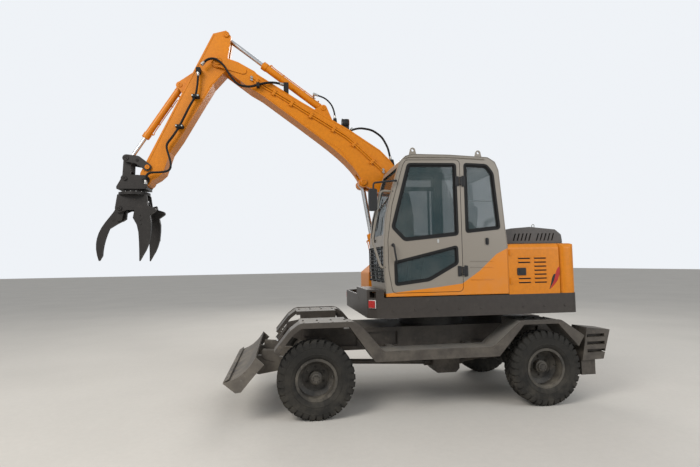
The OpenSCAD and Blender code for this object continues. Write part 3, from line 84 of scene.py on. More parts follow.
class Val:
    """A shader value: a node's output, or a plain number, with operators that add Math nodes."""

    def __init__(self, graph: "Graph", raw: Union[bpy.types.NodeSocket, float]) -> None:
        """Keeps the value with its graph.

        Args:
            graph: the graph that new nodes go to.
            raw: an output socket or a number.
        """
        self.graph, self.raw = graph, raw

    def _op(self, kind: str, *others: Operand) -> "Val":
        """One Math node of that kind on this value and the others."""
        node = self.graph.node("ShaderNodeMath", {"operation": kind}, dict(enumerate((self, *others))))
        return Val(self.graph, node.outputs[0])

    def __add__(self, other: Operand) -> "Val":
        """This value plus another."""
        return self._op("ADD", other)

    __radd__ = __add__

    def __mul__(self, other: Operand) -> "Val":
        """This value times another."""
        return self._op("MULTIPLY", other)

    __rmul__ = __mul__

    def __sub__(self, other: Operand) -> "Val":
        """This value less another."""
        return self._op("SUBTRACT", other)

    def __rsub__(self, other: float) -> "Val":
        """A number less this value."""
        return Val(self.graph, other)._op("SUBTRACT", self)

    def least(self, other: Operand) -> "Val":
        """The smaller of the two."""
        return self._op("MINIMUM", other)

    def most(self, other: Operand) -> "Val":
        """The larger of the two."""
        return self._op("MAXIMUM", other)

    def wave(self) -> "Val":
        """Its sine."""
        return self._op("SINE")

    def rise(self, low: float, high: float) -> "Val":
        """A smooth step.

        Args:
            low: the value up to which it is 0.
            high: the value from which it is 1.

        Returns:
            The step, from 0 to 1.
        """
        node = self.graph.node("ShaderNodeMapRange", {"interpolation_type": "SMOOTHSTEP"},
                               {"Value": self, "From Min": low, "From Max": high})
        return Val(self.graph, node.outputs[0])


class Graph:
    """The node tree of one material."""

    def __init__(self, name: str) -> None:
        """Starts an empty tree with its coordinates at hand.

        Args:
            name: the material's name.
        """
        self.material = bpy.data.materials.new(name)
        self.material.use_nodes = True
        self.tree = self.material.node_tree
        self.tree.nodes.clear()
        coords = self.node("ShaderNodeTexCoord")
        self.place = Val(self, coords.outputs["Object"])
        self.x, self.y, self.z = self.split(self.place)
        self.normal = Val(self, coords.outputs["Normal"])
        self.up = self.split(self.normal)[2]

    def node(self, kind: str, settings: dict | None = None, inputs: dict | None = None) -> bpy.types.Node:
        """Adds a node.

        Args:
            kind: the node's type.
            settings: its properties, set first.
            inputs: values or links by socket name or number.

        Returns:
            The new node.
        """
        made = self.tree.nodes.new(kind)
        for key, value in (settings or {}).items():
            setattr(made, key, value)
        for key, value in (inputs or {}).items():
            raw = value.raw if isinstance(value, Val) else value
            if isinstance(raw, bpy.types.NodeSocket):
                self.tree.links.new(raw, made.inputs[key])
            else:
                made.inputs[key].default_value = raw
        return made

    def split(self, vector: Val) -> tuple[Val, Val, Val]:
        """The three parts of a vector."""
        made = self.node("ShaderNodeSeparateXYZ", None, {0: vector})
        return tuple(Val(self, o) for o in made.outputs)

    def noise(self, scale: float, detail: float = 3.0, rough: float = 0.55,
              stretch: Point = (1, 1, 1)) -> Val:
        """Noise from 0 to 1.

        Args:
            scale: how many features it has per metre.
            detail: how many finer layers are added.
            rough: how strong the finer layers are.
            stretch: factors on the place, which draw the noise out along one way.

        Returns:
            The noise.
        """
        place = self.place
        if stretch != (1, 1, 1):
            place = Val(self, self.node("ShaderNodeVectorMath", {"operation": "MULTIPLY"},
                                        {0: self.place, 1: stretch}).outputs[0])
        made = self.node("ShaderNodeTexNoise", None, {"Vector": place, "Scale": scale, "Detail": detail,
                                                      "Roughness": rough})
        return Val(self, made.outputs[0])

    def facing(self, centre: Point) -> Val:
        """How squarely the surface faces a point.

        Args:
            centre: the point.

        Returns:
            The cosine, from -1 to 1.
        """
        way = self.node("ShaderNodeVectorMath", {"operation": "SUBTRACT"}, {0: centre, 1: self.place})
        unit = self.node("ShaderNodeVectorMath", {"operation": "NORMALIZE"}, {0: way.outputs[0]})
        return Val(self, self.node("ShaderNodeVectorMath", {"operation": "DOT_PRODUCT"},
                                   {0: unit.outputs[0], 1: self.normal}).outputs[1])

    def shade(self, factor: Operand, colour: Tint, by: float) -> Val:
        """A colour made darker.

        Args:
            factor: where it is darker, from 0 to 1.
            colour: the colour.
            by: the share that is taken off where factor is 1.

        Returns:
            The new colour.
        """
        first = colour if isinstance(colour, Val) else (*colour, 1.0)
        made = self.node("ShaderNodeMix", {"data_type": "RGBA", "blend_type": "MULTIPLY"},
                         {0: factor, 6: first, 7: (1 - by, 1 - by, 1 - by, 1.0)})
        return Val(self, made.outputs[2])

    def mix(self, factor: Operand, a: Tint, b: Tint) -> Val:
        """Two colours mixed.

        Args:
            factor: 0 where the first shows and 1 where the second does.
            a: the first colour.
            b: the second colour.

        Returns:
            The mixed colour.
        """
        full = [v if isinstance(v, Val) else (*v, 1.0) for v in (a, b)]
        made = self.node("ShaderNodeMix", {"data_type": "RGBA"}, {0: factor, 6: full[0], 7: full[1]})
        return Val(self, made.outputs[2])

    def bump(self, height: Val, depth: float) -> Val:
        """A normal from a height of 0 to 1 and a depth in metres."""
        made = self.node("ShaderNodeBump", None, {"Height": height, "Distance": depth, "Strength": 0.6})
        return Val(self, made.outputs[0])

    def finish(self, shader: str, inputs: dict) -> bpy.types.Material:
        """Joins a shader to the output.

        Args:
            shader: the shader node's type.
            inputs: its values or links by socket name.

        Returns:
            The material.
        """
        made = self.node(shader, None, inputs)
        out = self.node("ShaderNodeOutputMaterial")
        self.tree.links.new(made.outputs[0], out.inputs[0])
        return self.material


class Slot(Enum):
    """The record's material slots, which the finishes and some pieces name."""

    AMBER = "amber_paint"
    GREY = "grey_paint"
    FRAME = "frame_paint"
    BLACK = "black_paint"
    PLASTIC = "black_plastic"
    TYRE = "tyre_rubber"
    FABRIC = "seat_fabric"
    CHROME = "rod_chrome"
    RED = "lamp_red"
    PANE = "pane"


@dataclass(frozen=True)
class Coating:
    """A painted, moulded or cast surface with mottle, dust, scuffs and grain."""

    name: str
    colour: Colour
    roughness: float = 0.45
    metallic: float = 0.0
    coat: float = 0.0
    mottle: float = 0.12
    dust: float = 0.3
    dust_top: float = 1.4
    scuff: float = 0.25
    scuff_scale: float = 9.0
    bare: Colour = (0.20, 0.18, 0.16)
    grain: float = 0.0002
    grain_scale: float = 160.0
    tint: Colour = (0.30, 0.265, 0.21)
    gloss: float = 0.35
    slot: Slot = Slot.PLASTIC

    def base(self, g: Graph) -> Tint:
        """The clean colour before wear, which here is the same all over."""
        return self.colour

    def height(self, g: Graph) -> Val:
        """The relief of the surface, from 0 to 1."""
        return g.noise(self.grain_scale, 2.0)

    def build(self) -> bpy.types.Material:
        """Builds the material.

        Returns:
            The material.
        """
        g = Graph(self.name)
        broad = g.noise(1.7, 4.0)
        fine = g.noise(26.0, 3.0)
        base = g.shade(broad.rise(0.35, 0.65), self.base(g), self.mottle * 0.6)
        base = g.shade(fine.rise(0.35, 0.65), base, self.mottle)
        chips = g.noise(self.scuff_scale, 6.0, 0.7) - 0.5 + 0.05 * fine
        spots = chips.rise(0.17 - 0.09 * self.scuff, 0.20 - 0.09 * self.scuff)
        worn = g.mix(spots * self.scuff, base, self.bare)
        low = 1.0 - g.z.rise(0.0, self.dust_top)
        flat = g.up.rise(0.55, 0.98)
        patch = g.noise(5.0, 5.0, 0.65).rise(0.32, 0.72)
        dirt = (low * 0.9 + flat * 0.7) * patch * self.dust
        colour = g.mix(dirt.least(0.85), worn, self.tint)
        rough = (self.roughness + dirt * 0.4 + (broad - 0.5) * 0.16 + spots * 0.15).least(0.96)
        return g.finish("ShaderNodeBsdfPrincipled", {
            "Base Color": colour, "Roughness": rough, "Metallic": self.metallic,
            "Coat Weight": self.coat, "Coat Roughness": 0.25, "Specular IOR Level": self.gloss,
            "Normal": g.bump(self.height(g), self.grain)})


@dataclass(frozen=True)
class TwoTone(Coating):
    """The cab's grey with an amber field under a rising line."""

    lower: Colour = AMBER_PAINT
    lining: Colour = (0.024, 0.024, 0.025)
    heart: Point = (1.10, -0.555, 2.10)
    line: tuple = ((0.423, 1.353), (0.970, 1.407), (1.245, 1.440), (1.454, 1.578), (1.669, 1.771),
                   (1.808, 1.839))
    line_blur: float = 0.0015

    def base(self, g: Graph) -> Tint:
        """Grey above the line, amber below it and dark lining on the faces that look into the cab.

        Args:
            g: the material's graph.

        Returns:
            The colour.
        """
        (x0, z0), (x1, z1) = self.line[0], self.line[1]
        slope = (z1 - z0) / (x1 - x0)
        edge = (g.x - x0) * slope + z0
        for (xa, za), (xb, zb) in zip(self.line[1:], self.line[2:]):
            new = (zb - za) / (xb - xa)
            edge = edge + (g.x - xa).most(0.0) * (new - slope)
            slope = new
        outside = g.mix((edge - g.z).rise(-self.line_blur, self.line_blur), self.colour, self.lower)
        return g.mix(g.facing(self.heart).rise(0.15, 0.3), outside, self.lining)

    def build(self) -> bpy.types.Material:
        """Builds the two colours with the same wear.

        Returns:
            The material.
        """
        g = Graph(self.name)
        fine = g.noise(30.0, 3.0)
        base = self.base(g)
        patch = g.noise(4.0, 5.0, 0.65).rise(0.35, 0.75)
        flat = g.up.rise(0.6, 0.98)
        dirt = (flat * 0.8 + (1.0 - g.z.rise(1.2, 2.2)) * 0.5) * patch * self.dust
        colour = g.mix(dirt.least(0.8), base, self.tint)
        rough = self.roughness + dirt * 0.35 + (fine - 0.5) * 0.12
        return g.finish("ShaderNodeBsdfPrincipled", {
            "Base Color": colour, "Roughness": rough, "Coat Weight": self.coat, "Coat Roughness": 0.2,
            "Specular IOR Level": self.gloss,
            "Normal": g.bump(g.noise(self.grain_scale, 2.0), self.grain)})


@dataclass(frozen=True)
class Tread(Coating):
    """Deck plate with raised grip bars in two directions."""

    pitch: float = 0.028

    def height(self, g: Graph) -> Val:
        """Crossed grip bars.

        Args:
            g: the material's graph.

        Returns:
            The relief, from 0 to 1.
        """
        k = math.pi / self.pitch
        return (((g.x + g.y) * k).wave() * ((g.x - g.y) * k).wave()).rise(0.45, 0.7)


@dataclass(frozen=True)
class Decked(Tread):
    """Painted frames whose faces that look up are paler, which stands for dust on the deck and for painted
    sunlight on its top.
    """

    # paler colour of the faces that look up: dust, plus painted sunlight on the deck's top
    plate: Colour = (0.20, 0.19, 0.175)

    def base(self, g: Graph) -> Tint:
        """The paler colour on faces that look up, dust and painted sunlight together; the frame's colour on
        the others.
        """
        # faces that look up get the paler colour, which is partly dust and partly painted sunlight
        return g.mix(g.up.rise(0.5, 0.8), self.colour, self.plate)


@dataclass(frozen=True)
class Weave(Coating):
    """Woven seat cover."""

    threads: float = 900.0

    def height(self, g: Graph) -> Val:
        """Threads over and under each other, from 0 to 1."""
        x, y, z = ((part * self.threads).wave() for part in (g.x, g.y, g.z))
        return (x * y * z) * 0.5 + 0.5


@dataclass(frozen=True)
class Steel:
    """Bare or plated metal with fine marks along one way."""

    name: str
    colour: Colour = (0.72, 0.73, 0.74)
    roughness: float = 0.14
    smear: float = 0.12
    film: Colour = (0.25, 0.22, 0.18)
    slot: Slot = Slot.BLACK

    def build(self) -> bpy.types.Material:
        """Builds the material.

        Returns:
            The material.
        """
        g = Graph(self.name)
        streak = g.noise(60.0, 3.0, 0.6, (1.0, 1.0, 0.12))
        film = g.noise(7.0, 4.0).rise(0.4, 0.75)
        colour = g.mix(film * self.smear, self.colour, self.film)
        return g.finish("ShaderNodeBsdfPrincipled", {
            "Base Color": colour, "Metallic": 1.0, "Roughness": self.roughness + streak * 0.12 + film * 0.18,
            "Normal": g.bump(streak, 0.0002)})


@dataclass(frozen=True)
class Pane:
    """Tinted, faintly dusty safety glass."""

    name: str
    colour: Colour = (0.030, 0.060, 0.066)
    cover: float = 0.46
    dust: Colour = (0.40, 0.38, 0.34)
    slot: Slot = Slot.PANE

    def build(self) -> bpy.types.Material:
        """Builds the material.

        Returns:
            The material.
        """
        g = Graph(self.name)
        film = g.noise(3.0, 5.0, 0.6).rise(0.35, 0.8)
        low = g.noise(14.0, 3.0).rise(0.5, 0.8)
        return g.finish("ShaderNodeBsdfPrincipled", {
            "Base Color": g.mix(film * 0.16, self.colour, self.dust),
            "Roughness": 0.03 + film * 0.05, "Alpha": film * 0.06 + low * 0.03 + self.cover,
            "IOR": 1.45, "Coat Weight": 0.4, "Coat Roughness": 0.02})


class Look(Enum):
    """Every finish on the machine."""

    AMBER = Coating("amber_paint", AMBER_PAINT, 0.36, coat=0.1, mottle=0.08, dust=0.10, scuff=0.16,
                    dust_top=1.9, bare=(0.30, 0.11, 0.01), gloss=0.25, slot=Slot.AMBER)
    CAB = TwoTone("cab_paint", GREY_PAINT, 0.38, coat=0.15, dust=0.25, slot=Slot.GREY)
    GREY = Coating("grey_paint", GREY_PAINT, 0.40, coat=0.1, dust=0.2, scuff=0.15, slot=Slot.GREY)
    FRAME = Coating("frame_paint", FRAME_PAINT, 0.5, dust=0.4, scuff=0.4, bare=FRAME_WORN, slot=Slot.FRAME)
    SKIRT = Coating("skirt_paint", (0.040, 0.033, 0.028), 0.42, coat=0.05, dust=0.2, scuff=0.2,
                    bare=(0.10, 0.085, 0.07), slot=Slot.FRAME)
    # the deck's paler top is partly dust and partly painted sunlight
    DECK = Decked("deck_plate", FRAME_PAINT, 0.5, dust=0.45, scuff=0.4, bare=FRAME_WORN, grain=0.0022,
                  slot=Slot.FRAME)
    BLADE = Coating("blade_paint", (0.105, 0.092, 0.078), 0.55, dust=0.45, scuff=0.6, scuff_scale=6.0,
                    bare=(0.19, 0.175, 0.155), slot=Slot.FRAME)
    HOOD = Coating("hood_paint", (0.085, 0.078, 0.072), 0.45, dust=0.3, scuff=0.2, slot=Slot.GREY)
    BLACK = Coating("black_paint", (0.020, 0.019, 0.018), 0.5, dust=0.25, scuff=0.35, bare=(0.08, 0.07, 0.06),
                    slot=Slot.BLACK)
    RIM = Coating("rim_paint", (0.036, 0.033, 0.029), 0.5, dust=0.4, scuff=0.4, slot=Slot.BLACK)
    IRON = Coating("worn_iron", (0.030, 0.027, 0.025), 0.5, metallic=0.3, dust=0.12, scuff=0.35,
                   bare=(0.075, 0.066, 0.057), scuff_scale=12.0, slot=Slot.BLACK)
    TYRE = Coating("tyre_rubber", (0.022, 0.021, 0.019), 0.85, dust=0.16, dust_top=1.0, scuff=0.1,
                   bare=(0.04, 0.037, 0.033), grain=0.0010, grain_scale=240.0, gloss=0.25, slot=Slot.TYRE)
    RUBBER = Coating("black_rubber", (0.014, 0.014, 0.014), 0.7, dust=0.12, scuff=0.1,
                     bare=(0.04, 0.04, 0.04), gloss=0.25)
    PLASTIC = Coating("black_plastic", (0.018, 0.018, 0.019), 0.55, dust=0.12, scuff=0.1,
                      bare=(0.05, 0.05, 0.05), grain=0.0004, grain_scale=500.0)
    FABRIC = Weave("seat_fabric", (0.030, 0.030, 0.034), 0.9, dust=0.15, scuff=0.1, bare=(0.05, 0.05, 0.055),
                   grain=0.0010, slot=Slot.FABRIC)
    RED = Coating("lamp_red", (0.42, 0.012, 0.010), 0.2, coat=0.5, dust=0.15, scuff=0.0, slot=Slot.RED)
    STRIPE = Coating("stripe_red", (0.42, 0.018, 0.012), 0.4, dust=0.1, scuff=0.1, slot=Slot.AMBER)
    INK = Coating("stripe_black", (0.012, 0.012, 0.012), 0.4, dust=0.1, scuff=0.0, slot=Slot.AMBER)
    WHITE = Coating("white_plastic", (0.70, 0.70, 0.68), 0.35, dust=0.2, scuff=0.1, slot=Slot.RED)
    LENS = Coating("lamp_lens", (0.70, 0.71, 0.71), 0.12, coat=0.8, dust=0.2, scuff=0.0)
    CHROME = Steel("rod_chrome", slot=Slot.CHROME)
    ZINC = Steel("zinc_plate", (0.50, 0.50, 0.48), 0.32, 0.3)
    GLASS = Pane("cab_pane")

    @property
    def material(self) -> bpy.types.Material:
        """The finish's material, built once.

        Returns:
            The material.
        """
        made = bpy.data.materials.get("look_" + self.value.name)
        if made is None:
            made = self.value.build()
            made.name = "look_" + self.value.name
        return made


class Shape:
    """A mesh that grows piece by piece, in the row frame and in metres."""

    def __init__(self) -> None:
        """Starts without a point."""
        self.points: list[Vector] = []
        self.faces: list[tuple[int, ...]] = []

    def add(self, points: Iterable, faces: Iterable) -> "Shape":
        """Adds points and the faces that join them.

        Args:
            points: the points.
            faces: for each face, the numbers of its points in that list.

        Returns:
            The shape.
        """
        start = len(self.points)
        self.points += [Vector(p) for p in points]
        self.faces += [tuple(start + i for i in f) for f in faces]
        return self

    def bridge(self, points: Sequence, turned: bool = False) -> "Shape":
        """Adds a solid between two outlines with as many points.

        Args:
            points: the first outline's points, and then the second's.
            turned: whether the points of its sides are listed the other way round.

        Returns:
            The shape.
        """
        n = len(points) // 2
        sides = [(i, (i + 1) % n, n + (i + 1) % n, n + i) for i in range(n)]
        if turned:
            sides = [f[::-1] for f in sides]
        return self.add(points, [tuple(range(n)), tuple(range(2 * n - 1, n - 1, -1)), *sides])

    def box(self, lo: Point, hi: Point) -> "Shape":
        """Adds a box between two corners."""
        return self.prism(square(lo[0], lo[2], hi[0], hi[2]), lo[1], hi[1])

    def prism(self, outline: Sequence, y0: float, y1: float) -> "Shape":
        """Adds an outline of (x, z) points, counterclockwise in side view, from y0 to y1."""
        return self.bridge([(x, y, z) for y in (y0, y1) for x, z in outline], turned=True)

    def sweep(self, path: Sequence, radius: Union[float, Sequence], sides: int = 12,
              closed: bool = False) -> "Shape":
        """Adds a round tube along a path.

        Args:
            path: its centreline.
            radius: one radius, or one for every point.
            sides: how many sides it has.
            closed: whether it runs back to its start.

        Returns:
            The shape.
        """
        path = [Vector(p) for p in path]
        n = len(path)
        radii = radius if isinstance(radius, (list, tuple)) else [radius] * n
        if closed:
            ends = [path[(i + 1) % n] - path[i - 1] for i in range(n)]
        else:
            ends = [path[min(i + 1, n - 1)] - path[max(i - 1, 0)] for i in range(n)]
        side = ends[0].orthogonal().normalized()
        points = []
        for p, along, r in zip(path, ends, radii):
            side = (side - along.normalized() * side.dot(along.normalized())).normalized()
            other = along.normalized().cross(side)
            points += [p + (side * math.cos(a) + other * math.sin(a)) * r for a in turns(sides)]
        rows = n if closed else n - 1
        faces = [(i * sides + k, i * sides + (k + 1) % sides, (i + 1) % n * sides + (k + 1) % sides,
                  (i + 1) % n * sides + k) for i in range(rows) for k in range(sides)]
        if not closed:
            faces += [tuple(range(sides))[::-1], tuple((n - 1) * sides + k for k in range(sides))]
        return self.add(points, faces)

    def rod(self, a: Point, b: Point, r: float, sides: int = 20) -> "Shape":
        """Adds a straight round bar."""
        return self.sweep([a, b], r, sides)

    def stud(self, at: Point, along: Point, r: float, h: float, head: int = 6) -> "Shape":
        """Adds a washer and a bolt head that stand out of a face.

        Args:
            at: where it stands.
            along: the way it stands out.
            r: radius of the head.
            h: height of the head.
            head: how many sides the head has.

        Returns:
            The shape.
        """
        at, along = Vector(at), Vector(along).normalized()
        self.sweep([at, at + along * h * 0.25], r * 1.35, 16)
        return self.sweep([at + along * h * 0.2, at + along * h * 0.9, at + along * h], [r, r, r * 0.8], head)

    def bolt_ring(self, centre: Point, radii: tuple[float, float], along: Point, count: int, r: float,
                  h: float, start: float = 0.5) -> "Shape":
        """Adds bolt heads evenly round a circle or an ellipse that faces along y or z.

        Args:
            centre: its middle.
            radii: its half width along x and its half height along its other direction.
            along: the way that the heads stand out.
            count: how many there are.
            r: radius of a head.
            h: height of a head.
            start: where the first one sits, in steps from the +X side.

        Returns:
            The shape.
        """
        second = 2 if along[1] else 1
        for k in range(count):
            a = 2 * math.pi * (k + start) / count
            at = list(centre)
            at[0] += radii[0] * math.cos(a)
            at[second] += radii[1] * math.sin(a)
            self.stud(at, along, r, h)
        return self

    def lathe(self, profile: Sequence, centre: Point, axis: Point = Y_AXIS, steps: int = 48,
              closed: bool = True) -> "Shape":
        """Adds a form turned round an axis.

        Args:
            profile: its (radius, distance along the axis) points.
            centre: a point of the axis, where the distance is 0.
            axis: the axis' direction.
            steps: how many sides it has.
            closed: whether its last point is joined to its first.

        Returns:
            The shape.
        """
        axis, centre = Vector(axis).normalized(), Vector(centre)
        side = axis.orthogonal().normalized()
        other = axis.cross(side)
        n = len(profile)
        points = [centre + axis * d + (side * math.cos(a) + other * math.sin(a)) * r
                  for a in turns(steps) for r, d in profile]
        faces = []
        for k in range(steps):
            here, there = k * n, (k + 1) % steps * n
            for i in range(n if closed else n - 1):
                j = (i + 1) % n
                faces.append((here + i, here + j, there + j, there + i))
        return self.add(points, faces)

    def moved(self, matrix: Matrix) -> "Shape":
        """Moves all of its points by a matrix."""
        self.points = [matrix @ p for p in self.points]
        return self

    def mirrored(self) -> "Shape":
        """Adds its mirror image across the middle plane, y = 0."""
        return self.add([(p.x, -p.y, p.z) for p in list(self.points)], [f[::-1] for f in list(self.faces)])

    def place(self, name: str, look: Look, body: str, bevel: float = 0.0, smooth: float = 35.0,
              slot: Slot | None = None) -> bpy.types.Object:
        """Makes the object, gives it its finish and lets it ride on a body.

        Args:
            name: the piece's name.
            look: its finish.
            body: the body that carries it.
            bevel: width of its rounded edges, in metres.
            smooth: the largest angle that is shaded smooth, in degrees.
            slot: its slot in the record, where it isn't the finish's own; it is not used.

        Returns:
            The object.
        """
        mesh = bpy.data.meshes.new(name)
        mesh.from_pydata(self.points, [], self.faces)
        mesh.validate()
        obj = bpy.data.objects.new(name, mesh)
        bpy.context.scene.collection.objects.link(obj)
        mesh.materials.append(look.material)
        recalc(mesh)
        if bevel:
            edge = obj.modifiers.new("edge", "BEVEL")
            edge.width, edge.segments, edge.harden_normals = bevel, 2, True
            edge.limit_method, edge.angle_limit = "ANGLE", math.radians(BEVEL_ANGLE)
        mesh.shade_smooth()
        mesh.set_sharp_from_angle(angle=math.radians(smooth))
        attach(obj, body)
        log.info("%s: %d faces on %s", name, len(mesh.polygons), body)
        return obj


def recalc(mesh: bpy.types.Mesh) -> None:
    """Turns every face of a mesh outwards.

    Args:
        mesh: the mesh.
    """
    work = bmesh.new()
    work.from_mesh(mesh)
    bmesh.ops.recalc_face_normals(work, faces=work.faces)
    work.to_mesh(mesh)
    work.free()


def eased(points: Sequence, per: int = 8) -> list[Vector]:
    """A smooth line through points.

    Args:
        points: the points.
        per: how many steps each stretch gets.

    Returns:
        The line's points.
    """
    pts = [Vector(p) for p in points]
    ext = [pts[0] * 2 - pts[1], *pts, pts[-1] * 2 - pts[-2]]
    line = []
    for a, b, c, d in zip(ext, ext[1:], ext[2:], ext[3:]):
        for k in range(per):
            t = k / per
            line.append(0.5 * (2 * b + (c - a) * t + (2 * a - 5 * b + 4 * c - d) * t * t
                               + (3 * b - a - 3 * c + d) * t ** 3))
    return [*line, pts[-1]]


def turns(count: int, start: float = 0.0) -> list[float]:
    """Angles of that many even steps of a full turn, the first one moved on by a share of a step."""
    return [2 * math.pi * (k + start) / count for k in range(count)]


def ring(centre: Point, radius: float, axis: Point = Y_AXIS, n: int = 32) -> list[Vector]:
    """Points of a circle round an axis.

    Args:
        centre: its middle.
        radius: its radius.
        axis: the axis' direction.
        n: how many points it has.

    Returns:
        The points.
    """
    axis = Vector(axis).normalized()
    side = axis.orthogonal().normalized()
    other = axis.cross(side)
    return [Vector(centre) + (side * math.cos(a) + other * math.sin(a)) * radius for a in turns(n)]


def paint(finishes: dict[Look, Sequence[str]]) -> None:
    """Gives carried-over nodes their finishes, with their facets shaded by angle.

    Args:
        finishes: the names of the nodes for each finish.
    """
    for look, names in finishes.items():
        for name in names:
            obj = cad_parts[name]
            obj.data.materials.clear()
            obj.data.materials.append(look.material)
            obj.data.shade_smooth()
            obj.data.set_sharp_from_angle(angle=math.radians(NODE_SMOOTH))


@dataclass
class Wheels:
    """Tyres with tread in place of the plain ones, and the dressing of the rims."""

    radius: float = AXLE_HEIGHT
    width: float = 0.250
    crown: float = 0.412
    lugs: int = 32
    row: float = 0.022
    track: float = 0.875
    disc_inset: float = 0.095
    disc_wall: float = 0.017
    hub_bolts: float = 0.034
    wheel_nuts: float = 0.105

    def tyre(self, name: str, x: float, y: float) -> None:
        """One tyre: carcass, shoulder lugs, centre blocks and sidewall rings.

        Args:
            name: the wheel's name.
            x: the axle's place along the machine.
            y: the wheel's middle plane.
        """
        shape = Shape()
        half = self.width / 2
        c = (x, y, self.radius)
        flank = [(0.213, 0.086), (0.232, 0.088), (0.243, 0.104), (0.262, 0.115), (0.276, 0.119),
                 (0.279, 0.123), (0.284, 0.123), (0.288, 0.1195), (0.325, 0.1235), (0.352, 0.1205),
                 (0.356, 0.1235), (0.361, 0.1225), (0.364, 0.119), (0.385, 0.113), (0.400, 0.103),
                 (self.crown - 0.004, 0.085), (self.crown, 0.045)]
        profile = [(r, -d) for r, d in flank] + [(r, d) for r, d in reversed(flank)]
        shape.lathe(profile, c, steps=128)
        for i in range(self.lugs):
            for side in (-1, 1):
                a = 2 * math.pi * (i + (0.25 if side * y > 0 else -0.25)) / self.lugs
                self.lug(shape, c, a, side, half)
            for k, w in enumerate((-self.row, self.row)):
                a = 2 * math.pi * (i + 0.5 * k) / self.lugs
                self.block(shape, c, a, w)
        obj = shape.place(f"{name}_tread_tyre", Look.TYRE, f"wheel_{name}", smooth=30)
        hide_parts(f"{name}_tyre")

    def spot(self, c: Point, a: float, r: float, w: float) -> Point:
        """The point at an angle, a radius and a distance from the wheel's middle plane."""
        return c[0] + r * math.cos(a), c[1] + w, c[2] + r * math.sin(a)

    def lug(self, shape: Shape, c: Point, a: float, side: int, half: float) -> None:
        """Adds a shoulder lug that runs from the crown over the shoulder and down the sidewall.

        Args:
            shape: the tyre.
            c: the wheel's middle.
            a: the lug's angle.
            side: -1 or 1, the side that it is on.
            half: half the tyre's width.
        """
        stations = ((0.040, self.crown - 0.004, self.radius - 0.001, 0.047, 0.022),
                    (0.092, 0.400, self.radius - 0.0005, 0.056, 0.0),
                    (half - 0.012, 0.375, self.radius - 0.020, 0.058, -0.006),
                    (half - 0.001, 0.355, 0.372, 0.054, -0.008),
                    (half - 0.006, 0.340, 0.345, 0.046, -0.008))
        points = []
        for w, low, high, arc, lean in stations:
            for r in (low, high):
                for s in (-1, 1):
                    points.append(self.spot(c, a + side * lean / high + s * arc * 0.5 / high, r, side * w))
        faces = [(0, 1, 3, 2), (16, 18, 19, 17)]
        for k in range(0, 16, 4):
            faces += [(k, k + 2, k + 6, k + 4), (k + 1, k + 5, k + 7, k + 3), (k + 2, k + 3, k + 7, k + 6),
                      (k, k + 4, k + 5, k + 1)]
        shape.add(points, faces)

    def block(self, shape: Shape, c: Point, a: float, w: float) -> None:
        """Adds a skewed block of the middle rows.

        Args:
            shape: the tyre.
            c: the wheel's middle.
            a: the block's angle.
            w: its row's distance from the wheel's middle plane.
        """
        corners = ((-0.027, -0.014), (0.014, -0.016), (0.027, 0.014), (-0.014, 0.016))
        points = [self.spot(c, a + da / r, r, w + dw)
                  for r in (self.crown - 0.006, self.radius - 0.0005) for da, dw in corners]
        faces = [(0, 1, 2, 3), (7, 6, 5, 4), (0, 4, 5, 1), (1, 5, 6, 2), (2, 6, 7, 3), (3, 7, 4, 0)]
        shape.add(points, faces)

    def hub(self, name: str, x: float, y: float) -> None:
        """Hub bolts, wheel nuts, valve and lock ring of one rim.

        Args:
            name: the wheel's name.
            x: the axle's place along the machine.
            y: the wheel's middle plane.
        """
        side = -1 if y < 0 else 1
        z = self.radius
        disc = y - side * self.disc_inset + side * self.disc_wall
        bolts = Shape()
        circle = (self.hub_bolts, self.hub_bolts)
        bolts.bolt_ring((x, y + side * 0.025, z), circle, (0, side, 0), 8, 0.006, 0.008)
        for a in turns(6, 0.5):
            nut = x + self.wheel_nuts * math.cos(a), z + self.wheel_nuts * math.sin(a)
            bolts.sweep([(nut[0], disc + side * d, nut[1]) for d in (0.012, 0.021)], 0.009, 12)
        bolts.place(f"{name}_hub_bolts", Look.IRON, f"wheel_{name}")
        trim = Shape()
        rings = ((y + side * 0.0885, 0.2075, 0.0038, 64), (y + side * 0.060, 0.2045, 0.0030, 64),
                 (disc, 0.146, 0.0035, 48))
        for plane, radius, bead, n in rings:
            trim.sweep(ring((x, plane, z), radius, n=n), bead, 8, True)
        trim.place(f"{name}_lock_ring", Look.RIM, f"wheel_{name}")
        valve = Shape()
        valve.sweep([(x + 0.185, disc + side * 0.012, z), (x + 0.188, disc + side * 0.045, z),
                     (x + 0.192, disc + side * 0.062, z)], [0.006, 0.005, 0.0045], 10)
        valve.place(f"{name}_valve", Look.ZINC, f"wheel_{name}")

    def build(self) -> None:
        """Builds all four wheels."""
        for end, x in (("front", FRONT_AXLE), ("rear", REAR_AXLE)):
            for hand, y in (("left", -self.track), ("right", self.track)):
                self.tyre(f"{end}_{hand}", x, y)
                self.hub(f"{end}_{hand}", x, y)


def offset(outline: Sequence, d: float) -> list[tuple[float, float]]:
    """Moves every edge of a counterclockwise outline inwards.

    Args:
        outline: the outline.
        d: how far; outwards where it is below 0.

    Returns:
        The moved outline.
    """
    n = len(outline)
    moved = []
    for i, (x, z) in enumerate(outline):
        (xa, za), (xb, zb) = outline[i - 1], outline[(i + 1) % n]
        a = Vector((x - xa, z - za)).normalized()
        b = Vector((xb - x, zb - z)).normalized()
        m, k = Vector((-a.y, a.x)), Vector((-b.y, b.x))
        step = (m + k) * (d / (1 + m.dot(k)))
        moved.append((x + step.x, z + step.y))
    return moved


